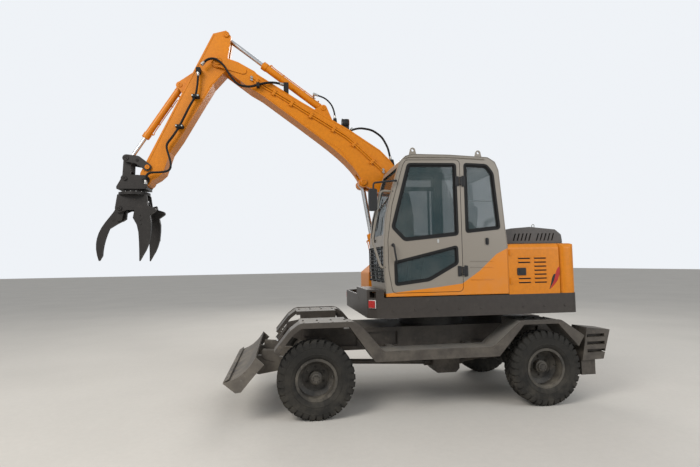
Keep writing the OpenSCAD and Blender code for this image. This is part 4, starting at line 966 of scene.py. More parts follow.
def rounded(outline: Sequence, r: float, n: int = 5) -> list[tuple[float, float]]:
    """Rounds every corner of an outline with a smooth bend.

    Args:
        outline: the outline.
        r: how far before the corner the bend starts.
        n: how many steps the bend has.

    Returns:
        The rounded outline.
    """
    made = []
    for i, p in enumerate(outline):
        a, b, c = Vector(outline[i - 1]), Vector(p), Vector(outline[(i + 1) % len(outline)])
        s = b + (a - b).normalized() * min(r, 0.45 * (a - b).length)
        e = b + (c - b).normalized() * min(r, 0.45 * (c - b).length)
        for k in range(n + 1):
            t = k / n
            made.append(tuple(s * (1 - t) ** 2 + b * 2 * t * (1 - t) + e * t * t))
    return made


def square(x0: float, z0: float, x1: float, z1: float) -> list[tuple[float, float]]:
    """The counterclockwise outline of an upright rectangle between two corners."""
    return [(x0, z0), (x1, z0), (x1, z1), (x0, z1)]


def border(shape: Shape, outer: Sequence, inner: Sequence, y0: float, y1: float) -> Shape:
    """Adds a flat frame between two outlines with as many points.

    Args:
        shape: the shape that it goes to.
        outer: its outer outline.
        inner: its inner outline.
        y0: where it starts along y.
        y1: where it ends along y.

    Returns:
        The shape.
    """
    n = len(outer)
    points = [(x, y, z) for y in (y0, y1) for line in (outer, inner) for x, z in line]
    faces = []
    for i in range(n):
        j = (i + 1) % n
        faces += [(i, j, n + j, n + i), (2 * n + i, 3 * n + i, 3 * n + j, 2 * n + j),
                  (i, 2 * n + i, 2 * n + j, j), (n + i, n + j, 3 * n + j, 3 * n + i)]
    return shape.add(points, faces)


@dataclass
class Studio:
    """Pale floor and sky, soft lights and the photograph's camera."""

    place: Point = (-0.7876, -6.1306, 1.6871)
    yaw: float = 0.1427
    pitch: float = 0.0648
    roll: float = -0.0175
    lens: float = 24.02
    sensor: float = 36.0
    floor: Colour = (0.60, 0.57, 0.52)
    sky: Colour = (0.93, 0.96, 1.0)
    sky_lights: float = 0.55
    sky_shows: float = 0.93

    def camera(self) -> None:
        """Sets the camera at the photograph's place and view."""
        flat = math.cos(self.pitch)
        forward = Vector((math.sin(self.yaw) * flat, math.cos(self.yaw) * flat, math.sin(self.pitch)))
        level = Vector((math.cos(self.yaw), -math.sin(self.yaw), 0))
        over = level.cross(forward)
        right = level * math.cos(self.roll) + over * math.sin(self.roll)
        up = over * math.cos(self.roll) - level * math.sin(self.roll)
        data = bpy.data.cameras.new("camera")
        data.lens, data.sensor_width = self.lens, self.sensor
        obj = bpy.data.objects.new("camera", data)
        obj.matrix_world = Matrix((right, up, -forward)).transposed().to_4x4()
        obj.matrix_world.translation = self.place
        bpy.context.scene.collection.objects.link(obj)
        bpy.context.scene.camera = obj

    def lamp(self, name: str, place: Point, aim: Point, size: float, power: float, colour: Colour) -> None:
        """Adds one soft area light.

        Args:
            name: its name.
            place: where it stands.
            aim: the point that it faces.
            size: its width in metres.
            power: its power in watts.
            colour: its colour.
        """
        data = bpy.data.lights.new(name, "AREA")
        data.shape, data.size, data.energy, data.color = "DISK", size, power, colour
        obj = bpy.data.objects.new(name, data)
        obj.location = place
        obj.rotation_euler = (Vector(aim) - Vector(place)).to_track_quat("-Z", "Y").to_euler()
        bpy.context.scene.collection.objects.link(obj)

    def world(self) -> None:
        """A pale sky that the camera and the panes see a little brighter than it lights."""
        world = bpy.data.worlds.new("sky")
        world.use_nodes = True
        bpy.context.scene.world = world
        tree = world.node_tree
        tree.nodes.clear()
        rays = tree.nodes.new("ShaderNodeLightPath")
        seen = tree.nodes.new("ShaderNodeMath")
        seen.operation, seen.use_clamp = "ADD", True
        tree.links.new(rays.outputs["Is Camera Ray"], seen.inputs[0])
        tree.links.new(rays.outputs["Is Transmission Ray"], seen.inputs[1])
        level = tree.nodes.new("ShaderNodeMapRange")
        level.inputs["To Min"].default_value = self.sky_lights
        level.inputs["To Max"].default_value = self.sky_shows
        tree.links.new(seen.outputs[0], level.inputs["Value"])
        back = tree.nodes.new("ShaderNodeBackground")
        back.inputs["Color"].default_value = (*self.sky, 1.0)
        tree.links.new(level.outputs[0], back.inputs["Strength"])
        out = tree.nodes.new("ShaderNodeOutputWorld")
        tree.links.new(back.outputs[0], out.inputs[0])

    def ground(self) -> None:
        """A plain pale floor that takes the machine's shadow."""
        mesh = bpy.data.meshes.new("floor")
        mesh.from_pydata([(-60, -14, 0), (60, -14, 0), (60, 90, 0), (-60, 90, 0)], [], [(0, 1, 2, 3)])
        obj = bpy.data.objects.new("floor", mesh)
        bpy.context.scene.collection.objects.link(obj)
        g = Graph("floor")
        broad = g.noise(0.5, 4.0)
        fine = g.noise(14.0, 6.0, 0.7)
        paler = tuple(c * 1.04 for c in self.floor)
        darker = tuple(c * 0.95 for c in self.floor)
        colour = g.mix((broad * 0.6 + fine * 0.4).rise(0.3, 0.7), darker, paler)
        mesh.materials.append(g.finish("ShaderNodeBsdfPrincipled", {
            "Base Color": colour, "Roughness": 0.95, "Normal": g.bump(fine, 0.004)}))

    def build(self) -> None:
        """Builds the whole studio."""
        bpy.context.scene.view_settings.view_transform = "Standard"
        self.camera()
        self.world()
        self.ground()
        self.lamp("key", (-7.0, -7.5, 9.0), (0.4, 0, 1.8), 6.0, 900.0, (1.0, 0.97, 0.93))
        self.lamp("fill", (7.0, -8.0, 5.0), (0.6, 0, 1.4), 7.0, 330.0, (0.93, 0.96, 1.0))
        self.lamp("back", (2.0, 9.0, 8.0), (0.0, 0, 2.2), 7.0, 420.0, (1.0, 0.98, 0.95))


@dataclass
class Chassis:
    """Bolts, edges, grips and lamps of the undercarriage and its steps."""

    half: float = 1.0
    front_top: float = 1.042
    rear_top: float = 0.985
    step_low: float = 0.705
    slew: Point = (1.16, 0.0, 0.962)
    slew_bolts: float = 0.40
    knuckle_bolts: float = 0.075
    case_bolts: float = 0.118
    case_half: float = 0.112
    tail: float = 2.790

    def edges(self) -> None:
        """Rolled lips along the outer edges of the side decks."""
        shape = Shape()
        f, r, front, rear, low = FRONT_AXLE, REAR_AXLE, self.front_top, self.rear_top, self.step_low
        line = [(f - 0.454, 0.745), (f - 0.282, front - 0.080), (f - 0.174, front), (f + 0.420, front),
                (f + 0.500, front - 0.052), (f + 0.740, low), (r - 0.642, low), (r - 0.300, rear),
                (r + 0.192, rear), (r + 0.475, 0.790)]
        path = [(x, -self.half + 0.0095, z + 0.002) for x, z in rounded_line(line, 0.04)]
        shape.sweep(path, 0.009, 10)
        shape.mirrored().place("deck_lips", Look.FRAME, "chassis")

    def bolts(self) -> None:
        """Bolt heads on the decks and the slew ring."""
        shape = Shape()
        places = [(FRONT_AXLE - 0.13 + 0.16 * k, self.front_top) for k in range(4)]
        places += [(REAR_AXLE - 0.24 + 0.13 * k, self.rear_top) for k in range(4)]
        for x, top in places:
            for inset in (0.06, 0.30):
                shape.stud((x, -self.half + inset, top), Z_AXIS, 0.011, 0.010)
        shape.mirrored()
        x, y, z = self.slew
        for a in turns(28):
            u, v = math.cos(a), math.sin(a)
            shape.stud((x + self.slew_bolts * u, y + self.slew_bolts * v, z), (u, v, 0), 0.010, 0.010)
        shape.place("chassis_bolts", Look.FRAME, "chassis")

    def steps(self) -> None:
        """Grip plates in the rear steps, six tail lamps and a tow pin."""
        grips = Shape()
        for z in (0.580, 0.670, 0.760):
            for k in range(7):
                x = 2.815 + 0.030 * k
                grips.prism([(x, z), (x + 0.016, z), (x + 0.008, z + 0.008)], -0.925, -0.875)
        grips.mirrored().place("step_grips", Look.FRAME, "chassis")
        lamps = Shape()
        dome = [(0.0, 0.0), (0.024, 0.0), (0.024, 0.014), (0.016, 0.020), (0.0, 0.022)]
        for y in (-0.56, -0.50, -0.44):
            lamps.lathe(dome, (self.tail, y, 0.740), X_AXIS, 24, False)
        lamps.mirrored().place("tail_lamps", Look.RED, "chassis")
        hook = Shape()
        for y0, y1 in ((-0.07, -0.045), (0.045, 0.07)):
            hook.box((self.tail, y0, 0.60), (2.870, y1, 0.74))
        hook.rod((2.835, 0.0, 0.575), (2.835, 0.0, 0.765), 0.018)
        hook.box((2.805, -0.07, 0.655), (2.865, 0.07, 0.675))
        hook.place("tow_hitch", Look.BLACK, "chassis", bevel=0.003, slot=Slot.FRAME)

    def axle_bolts(self) -> None:
        """Bolts of the steering knuckles and of both differentials."""
        r = self.knuckle_bolts
        for side, body in ((-1, "left_steer"), (1, "right_steer")):
            shape, centre = Shape(), (FRONT_AXLE, side * 0.690, AXLE_HEIGHT)
            shape.bolt_ring(centre, (r, r), (0, -side, 0), 6, 0.008, 0.008, 0.0)
            shape.place(f"knuckle_bolts_{body}", Look.ZINC, body)
        r = self.case_bolts
        shape = Shape()
        for x in (REAR_AXLE, FRONT_AXLE):
            for side in (-1, 1):
                centre = (x, side * self.case_half, AXLE_HEIGHT)
                shape.bolt_ring(centre, (r, r), (0, side, 0), 8, 0.009, 0.009)
        shape.place("axle_bolts", Look.ZINC, "chassis")

    def build(self) -> None:
        """Builds the undercarriage's dressing."""
        self.edges()
        self.bolts()
        self.steps()
        self.axle_bolts()


def rounded_line(points: Sequence, r: float, n: int = 4) -> list[tuple[float, float]]:
    """Rounds the inner corners of an open line.

    Args:
        points: the line.
        r: how far before a corner its bend starts.
        n: how many steps a bend has.

    Returns:
        The rounded line.
    """
    closed = rounded(points, r, n)
    per = n + 1
    return [tuple(points[0]), *closed[per:-per], tuple(points[-1])]


@dataclass
class Blade:
    """Cutting edge, ribs and weld beads of the dozer blade."""

    pivot: tuple[float, float] = (-0.600, 0.520)
    half: float = 1.0
    edge_inset: float = 0.028
    rib_half: float = 0.008
    ribs: tuple[float, ...] = (-0.90, -0.62, -0.18, 0.18, 0.62, 0.90)
    arm_walls: tuple[float, ...] = (0.326, 0.404)

    def at(self, outline: Sequence) -> list[tuple[float, float]]:
        """An outline that is given from the blade's pivot."""
        return [(self.pivot[0] + x, self.pivot[1] + z) for x, z in outline]

    def build(self) -> None:
        """Builds the blade's dressing."""
        edge = Shape()
        edge.prism(self.at([(-0.826, -0.066), (-0.764, -0.030), (-0.770, -0.019), (-0.829, -0.057)]),
                   -self.half + self.edge_inset, self.half - self.edge_inset)
        edge.place("cutting_edge", Look.BLADE, "dozer_blade", bevel=0.002)
        bolts = Shape()
        ((x, z),) = self.at([(-0.790, -0.038)])
        for k in range(10):
            bolts.stud((x, -0.86 + 0.191 * k, z), (-0.5, 0, 0.86), 0.012, 0.007, 8)
        bolts.place("edge_bolts", Look.IRON, "dozer_blade", slot=Slot.FRAME)
        ribs = Shape()
        outline = self.at([(-0.486, 0.060), (-0.484, 0.130), (-0.520, 0.020), (-0.640, -0.160),
                           (-0.600, -0.075)])
        for y in self.ribs:
            ribs.prism(outline, y - self.rib_half, y + self.rib_half)
        ribs.place("blade_ribs", Look.BLADE, "dozer_blade", bevel=0.002)
        welds = Shape()
        line = self.at([(-0.30, 0.02), (-0.40, 0.045), (-0.470, 0.090)])
        for side in (-1, 1):
            for y in self.arm_walls:
                seam(welds, [(x, side * y, z) for x, z in line])
        welds.place("blade_welds", Look.FRAME, "dozer_blade")


def seam(shape: Shape, path: Sequence, r: float = 0.005) -> Shape:
    """Adds a weld bead along a line."""
    return shape.sweep(path, r, 8)


@dataclass
class UpperBody:
    """Louvre hoods, latches, stripe, hood fittings and edges of the revolving body."""

    side: float = BODY_SIDE
    louvre_w: float = 0.150
    pitch: float = 0.047
    low: float = 1.425
    columns: tuple = ((1.935, (2, 3, 4)), (2.135, ()))
    rows: int = 7
    mesh: tuple[float, float] = (1.915, 2.305)
    mesh_wire: float = 0.0022
    rear: float = 2.672
    marker: Point = (0.205, -0.930, 1.230)
    marker_turn: float = -135.0

    def louvres(self) -> None:
        """A pressed hood over every slot, with dark foam and mesh behind it."""
        hoods, foam = Shape(), Shape()
        y = -self.side
        profile = ((0.0, 0.031), (-0.004, 0.029), (-0.009, 0.021), (-0.010, 0.016), (-0.008, 0.016),
                   (-0.002, 0.023), (0.0, 0.024))
        for x, left_out in self.columns:
            for z in (self.low + row * self.pitch for row in range(self.rows) if row not in left_out):
                foam.box((x + 0.001, y + 0.004, z + 0.0005),
                         (x + self.louvre_w - 0.001, y + 0.038, z + 0.0155))
                hoods.bridge([(px, y + d, z + h) for px in (x, x + self.louvre_w) for d, h in profile])
        hoods.mirrored().place("louvre_hoods", Look.AMBER, "upper", bevel=0.0015)
        foam.mirrored().place("louvre_foam", Look.RUBBER, "upper")
        wires = Shape()
        low, (front, back) = self.low - 0.02, self.mesh
        for k in range(24):
            z = low + 0.0145 * k
            wires.rod((front, y + 0.052, z), (back, y + 0.052, z), self.mesh_wire, 6)
        for k in range(27):
            x = front + 0.015 * k
            wires.rod((x, y + 0.055, low), (x, y + 0.055, self.low + 0.315), self.mesh_wire, 6)
        wires.mirrored().place("louvre_mesh", Look.BLACK, "upper")

    def latches(self) -> None:
        """Panel latches, hinges and the grips of the counterweight."""
        y = -self.side
        plate = Shape()
        plate.prism(rounded(square(1.916, 1.518, 2.027, 1.606), 0.012), y - 0.0075, y + 0.001)
        plate.mirrored().place("latch_plates", Look.PLASTIC, "upper", bevel=0.002)
        lever = Shape()
        lever.prism(rounded(square(1.945, 1.540, 1.998, 1.584), 0.010), y - 0.013, y - 0.006)
        lever.stud((1.960, y - 0.012, 1.562), NEARWARD, 0.006, 0.003, 16)
        lever.mirrored().place("latch_levers", Look.PLASTIC, "upper", bevel=0.002)
        hinges = Shape()
        for z in (1.42, 1.75):
            hinges.rod((1.832, y - 0.006, z), (1.832, y - 0.006, z + 0.07), 0.008, 12)
            hinges.box((1.834, y - 0.004, z + 0.005), (1.868, y + 0.002, z + 0.065))
        hinges.mirrored().place("panel_hinges", Look.AMBER, "upper", bevel=0.001)
        handle = Shape()
        bar = [(2.655, -0.30), (2.668, -0.29), (2.671, -0.24), (2.671, -0.16), (2.668, -0.11), (2.655, -0.10)]
        handle.sweep(eased([(x, y, 1.70) for x, y in bar], 4), 0.006, 10)
        handle.mirrored().place("weight_grips", Look.BLACK, "upper")

    def stripe(self) -> None:
        """A plain two-colour swoosh on the rear of each side panel."""
        red = [(2.318, 1.345), (2.368, 1.388), (2.424, 1.452), (2.456, 1.540), (2.452, 1.620),
               (2.420, 1.585), (2.401, 1.541), (2.385, 1.483), (2.356, 1.409)]
        black = [(2.310, 1.339), (2.352, 1.406), (2.380, 1.463), (2.400, 1.531), (2.374, 1.522),
                 (2.355, 1.490), (2.344, 1.450), (2.332, 1.402)]
        for name, line, look in (("swoosh_red", red, Look.STRIPE), ("swoosh_black", black, Look.INK)):
            shape = Shape()
            shape.prism(rounded(line, 0.02, 4), -self.side - 0.0008, -self.side + 0.0004)
            shape.mirrored().place(name, look, "upper")

    def hood(self) -> None:
        """Lift eyes, edge seal and exhaust of the engine hood, and the tank's filler cap."""
        eye = Shape()
        eye.sweep(ring((2.30, -0.70, 2.118), 0.018, n=24), 0.005, 8, True)
        eye.sweep([(2.30, -0.70, 2.085), (2.30, -0.70, 2.101)], [0.011, 0.009], 12)
        eye.mirrored().place("hood_eyes", Look.ZINC, "upper")
        seal = Shape()
        edge = [(1.82, -0.803), (2.62, -0.803), (2.626, -0.79), (2.626, 0.79), (2.62, 0.803), (1.82, 0.803)]
        seal.sweep([(x, y, 1.893) for x, y in edge], 0.006, 8)
        seal.place("hood_seal", Look.RUBBER, "upper")
        pipe = Shape()
        bend = [(2.18, 2.06), (2.18, 2.16), (2.19, 2.24), (2.24, 2.29), (2.31, 2.31)]
        path = eased([(x, 0.42, z) for x, z in bend], 6)
        pipe.sweep(path, 0.038, 24)
        pipe.sweep([path[-1], path[-1] + Vector((0.004, 0, 0.001))], [0.034, 0.030], 24)
        pipe.sweep([(2.18, 0.42, 2.085), (2.18, 0.42, 2.105)], 0.055, 24)
        pipe.place("exhaust", Look.IRON, "upper")
        cap = Shape()
        rim = [(0.0, 0.0), (0.050, 0.0), (0.052, 0.022), (0.044, 0.030), (0.0, 0.032)]
        cap.lathe(rim, (0.98, 0.70, 1.770), Z_AXIS, 32, False)
        cap.box((0.945, 0.694, 1.800), (1.015, 0.706, 1.812))
        cap.place("filler_cap", Look.PLASTIC, "upper", bevel=0.002)

    def trims(self) -> None:
        """Skirt bolts, and the rims and lens ribs of the marker lamps."""
        bolts = Shape()
        for k in range(9):
            bolts.stud((0.42 + 0.26 * k, -self.side, 1.155), NEARWARD, 0.009, 0.007)
        for k in range(6):
            bolts.stud((self.rear, -0.75 + 0.30 * k, 1.155), X_AXIS, 0.009, 0.007)
        bolts.mirrored().place("skirt_bolts", Look.SKIRT, "upper")
        turn = Matrix.Rotation(math.radians(self.marker_turn), 4, "Z")
        turn = Matrix.Translation(Vector(self.marker)) @ turn
        rims = Shape().prism(square(0.004, -0.046, 0.014, 0.046), -0.046, 0.046).moved(turn)
        rims.mirrored().place("marker_rims", Look.WHITE, "upper", bevel=0.002)
        ribs = Shape()
        for z in (-0.034 + 0.016 * k for k in range(5)):
            ribs.prism([(0.026, z - 0.002), (0.0295, z), (0.026, z + 0.002)], -0.036, 0.036)
        ribs.moved(turn).mirrored().place("marker_lens_ribs", Look.RED, "upper")

    def build(self) -> None:
        """Builds the body's dressing."""
        self.louvres()
        self.latches()
        self.stripe()
        self.hood()
        self.trims()


@dataclass
class Cab:
    """Gaskets, handles, hinges, ribs, wiper, guard and mirror of the cab and its door."""

    side: float = BODY_SIDE
    far: float = 0.125
    corner: float = 0.035
    door_window: tuple = ((0.576, 1.938), (1.210, 2.000), (1.204, 2.828), (0.634, 2.822), (0.432, 2.090))
    door_low: tuple = ((0.460, 1.436), (0.855, 1.482), (1.200, 1.668), (1.196, 1.872), (0.456, 1.700))
    side_window: tuple = ((1.310, 2.026), (1.722, 2.068), (1.662, 2.722), (1.585, 2.822), (1.310, 2.832))
    far_window: tuple = ((0.440, 2.010), (1.215, 2.010), (1.215, 2.820), (0.650, 2.820), (0.500, 2.400))
    far_rear: tuple = ((1.300, 2.026), (1.722, 2.068), (1.662, 2.722), (1.585, 2.822), (1.300, 2.822))
    door: tuple = ((0.430, 1.352), (1.252, 1.352), (1.252, 2.872), (0.612, 2.862), (0.575, 2.800),
                   (0.441, 2.345), (0.385, 1.947), (0.389, 1.610))
    shell: tuple = ((0.354, 1.310), (1.810, 1.310), (1.810, 1.885), (1.792, 2.061), (1.734, 2.758),
                    (1.692, 2.858), (1.603, 2.912), (1.130, 2.935), (0.684, 2.937), (0.605, 2.912),
                    (0.541, 2.850), (0.439, 2.514), (0.363, 2.229), (0.334, 1.947), (0.333, 1.667))
    hinge_line: tuple[float, float] = (1.257, 0.016)
    hinge_heights: tuple[float, float] = (1.582, 2.623)
    guard_x: float = 0.318
    guard_posts: tuple[float, ...] = (-0.925, -0.680, -0.430, -0.185)
    mirror_y: float = -1.025

    def gasket(self, name: str, outline: Sequence, y: float, body: str, band: float = 0.036) -> None:
        """A rubber section round one window and the printed black band on its pane.

        Args:
            name: the piece's name.
            outline: the window's outline.
            y: the wall's outer face.
            body: the body that carries it.
            band: width of the band.
        """
        line = rounded(outline, self.corner)
        inward = 1 if y == -self.side else -1
        shape = Shape()
        for outer, inner, start, end in ((-0.009, 0.015, -0.003, 0.002), (0.0, 0.010, 0.002, 0.030),
                                         (0.002, band, 0.0130, 0.0145)):
            walls = sorted((y + inward * start, y + inward * end))
            border(shape, offset(line, outer), offset(line, inner), *walls)
        shape.place(name, Look.RUBBER, body)

    def gaskets(self) -> None:
        """All window sections, the far window's sliding frame and the door's seal."""
        y = -self.side
        self.gasket("door_window_seal", self.door_window, y, "door")
        self.gasket("door_low_seal", self.door_low, y, "door", 0.030)
        self.gasket("side_window_seal", self.side_window, y, "upper")
        self.gasket("far_window_seal", self.far_window, -self.far, "upper")
        self.gasket("far_rear_seal", self.far_rear, -self.far, "upper")
        bars = Shape()
        bars.box((0.560, -self.far - 0.042, 2.636), (1.215, -self.far - 0.024, 2.692))
        bars.box((1.118, -self.far - 0.042, 2.012), (1.144, -self.far - 0.024, 2.636))
        bars.place("sliding_frame", Look.PLASTIC, "upper", bevel=0.003)
        rail = Shape()
        rail.rod((1.318, y + 0.034, 2.395), (1.704, y + 0.034, 2.395), 0.006, 12)
        rail.place("side_window_rail", Look.GREY, "upper")
        seal = Shape()
        line = rounded(self.door, 0.045, 3)
        border(seal, offset(line, -0.0055), offset(line, -0.0005), y + 0.012, y + 0.030)
        seal.place("door_seal", Look.RUBBER, "upper")

    def handles(self) -> None:
        """Door lock, grab bar and the recessed catch behind the door."""
        y = -self.side
        lock = Shape()
        lock.prism(rounded(square(0.958, 1.908, 0.980, 1.950), 0.010), y - 0.005, y + 0.001)
        lock.stud((0.969, y - 0.004, 1.930), NEARWARD, 0.0055, 0.005, 20)
        lock.place("door_lock", Look.ZINC, "door", bevel=0.0015, slot=Slot.PLASTIC)
        bar = Shape()
        line = [(0.440, 0.0, 1.890), (0.440, 0.030, 1.890), (0.442, 0.045, 1.875), (0.452, 0.048, 1.80),
                (0.466, 0.045, 1.715), (0.470, 0.030, 1.698), (0.470, 0.0, 1.698)]
        bar.sweep(eased([(x, y - d, z) for x, d, z in line], 5), 0.011, 12)
        foot = [(0.0, 0.0), (0.020, 0.0), (0.020, -0.004), (0.012, -0.008), (0.0, -0.008)]
        for x, _, z in (line[0], line[-1]):
            bar.lathe(foot, (x, y, z), steps=24, closed=False)
        bar.place("door_grab_bar", Look.PLASTIC, "door")
        line = rounded(square(1.528, 1.870, 1.590, 1.970), 0.030)
        rim, cup = Shape(), Shape()
        border(rim, line, offset(line, 0.009), y - 0.004, y + 0.001)
        rim.place("rear_catch_rim", Look.GREY, "upper", bevel=0.0015)
        cup.prism(offset(line, 0.008), y - 0.001, y + 0.001)
        cup.sweep([(1.559, y - 0.002, 1.892), (1.559, y - 0.006, 1.905), (1.559, y - 0.006, 1.935),
                   (1.559, y - 0.002, 1.948)], 0.007, 12)
        cup.place("rear_catch", Look.PLASTIC, "upper")

    def hinges(self) -> None:
        """Black leaves, knuckles and screws over the two door hinges."""
        x, out = self.hinge_line
        y, pin = -self.side, -self.side - out
        for name, z in zip(("low", "high"), self.hinge_heights):
            fixed, moving = Shape(), Shape()
            for shape, x0, h0, x1, h1 in ((fixed, 0.0175, 0.066, 0.057, 0.060),
                                          (moving, -0.062, 0.060, -0.018, 0.056)):
                leaf = [(x + x0, z - h0), (x + x1, z - h1), (x + x1, z + h1), (x + x0, z + h0)]
                shape.prism(rounded(leaf, 0.008), y - 0.0092, y + 0.0005)
            for s in (-1, 1):
                fixed.sweep([(x, pin, z + s * 0.0302), (x, pin, z + s * 0.0475)], 0.0146, 24)
                for shape, d in ((fixed, 0.040), (moving, -0.042)):
                    shape.stud((x + d, y - 0.009, z + s * 0.040), NEARWARD, 0.006, 0.005)
            moving.sweep([(x, pin, z - 0.0288), (x, pin, z + 0.0288)], 0.0146, 24)
            fixed.place(f"hinge_{name}_fixed", Look.PLASTIC, "upper", bevel=0.001)
            moving.place(f"hinge_{name}_moving", Look.PLASTIC, "door", bevel=0.001)

    def ribs(self) -> None:
        """Pressed ribs of the lower cab wall, the edge beads of the shell and the roof's gutter."""
        y = -self.side
        shape = Shape()
        for z in (1.690, 1.622, 1.478):
            path = [(x, y + 0.001, z) for x in (1.340, 1.350, 1.620, 1.630)]
            shape.sweep(path, [0.001, 0.0055, 0.0055, 0.001], 10)
        shape.place("shell_ribs", Look.CAB, "upper")
        edge = Shape()
        for wall in (y, -self.far):
            path = [(x, wall, z) for x, z in offset(rounded(self.shell, 0.03, 4), 0.004)]
            edge.sweep(path, 0.0042, 8, True)
        edge.place("shell_edges", Look.CAB, "upper")
        gutter = Shape()
        line = [(0.600, 2.880), (0.640, 2.899), (1.130, 2.904), (1.560, 2.886)]
        gutter.sweep([(x, y - 0.006, z) for x, z in line], 0.007, 10)
        gutter.place("roof_gutter", Look.GREY, "upper")

    def wiper(self) -> None:
        """Wiper on the windscreen, with its motor cover."""
        shape = Shape()
        y = -0.50
        shape.sweep([(0.344, y, 1.955), (0.318, y, 1.960)], [0.022, 0.016], 16)
        shape.sweep(eased([(0.318, y, 1.960), (0.330, y - 0.02, 2.08), (0.362, y - 0.12, 2.28)], 5), 0.006, 8)
        shape.place("wiper_arm", Look.PLASTIC, "upper")
        blade = Shape()
        blade.sweep([(0.335, y - 0.10, 2.08), (0.366, y - 0.12, 2.28), (0.408, y - 0.14, 2.46)], 0.005, 6)
        blade.place("wiper_blade", Look.RUBBER, "upper")

    def guard(self) -> None:
        """Bars in front of the low front pane."""
        shape = Shape()
        x, posts = self.guard_x, self.guard_posts
        for k in range(9):
            z = 1.490 + 0.046 * k
            shape.rod((x, posts[0], z), (x, posts[-1], z), 0.0055, 10)
        for y in posts:
            shape.rod((x, y, 1.470), (x, y, 1.878), 0.007, 10)
            for z in (1.476, 1.872):
                shape.rod((x, y, z), (0.345, y, z), 0.007, 10)
        shape.place("front_guard", Look.PLASTIC, "upper")

    def mirror(self) -> None:
        """Glass and clamps of the mirror, and the feet of the handrail."""
        y = self.mirror_y
        line = rounded(square(-0.029, 2.286, 0.029, 2.507), 0.012)
        glass = Shape().bridge([(x, y + u, z) for x in (0.2552, 0.2568) for u, z in line])
        glass.place("mirror_glass", Look.CHROME, "upper")
        clamps = Shape()
        for z in (2.40, 2.47):
            clamps.box((0.205, y - 0.016, z - 0.008), (0.235, y + 0.016, z + 0.008))
        disc = [(0.0, -0.006), (0.026, -0.006), (0.026, 0.006), (0.0, 0.006)]
        for x, z in ((0.452, 2.503), (0.345, 1.640)):
            clamps.lathe(disc, (x, -0.960, z), X_AXIS, 24, False)
        clamps.place("rail_feet", Look.BLACK, "upper", bevel=0.002)

    def build(self) -> None:
        """Builds the cab's dressing."""
        self.gaskets()
        self.handles()
        self.hinges()
        self.ribs()
        self.wiper()
        self.guard()
        self.mirror()


def power(v: float, e: float) -> float:
    """A power of a number that keeps the number's sign."""
    return math.copysign(abs(v) ** e, v)


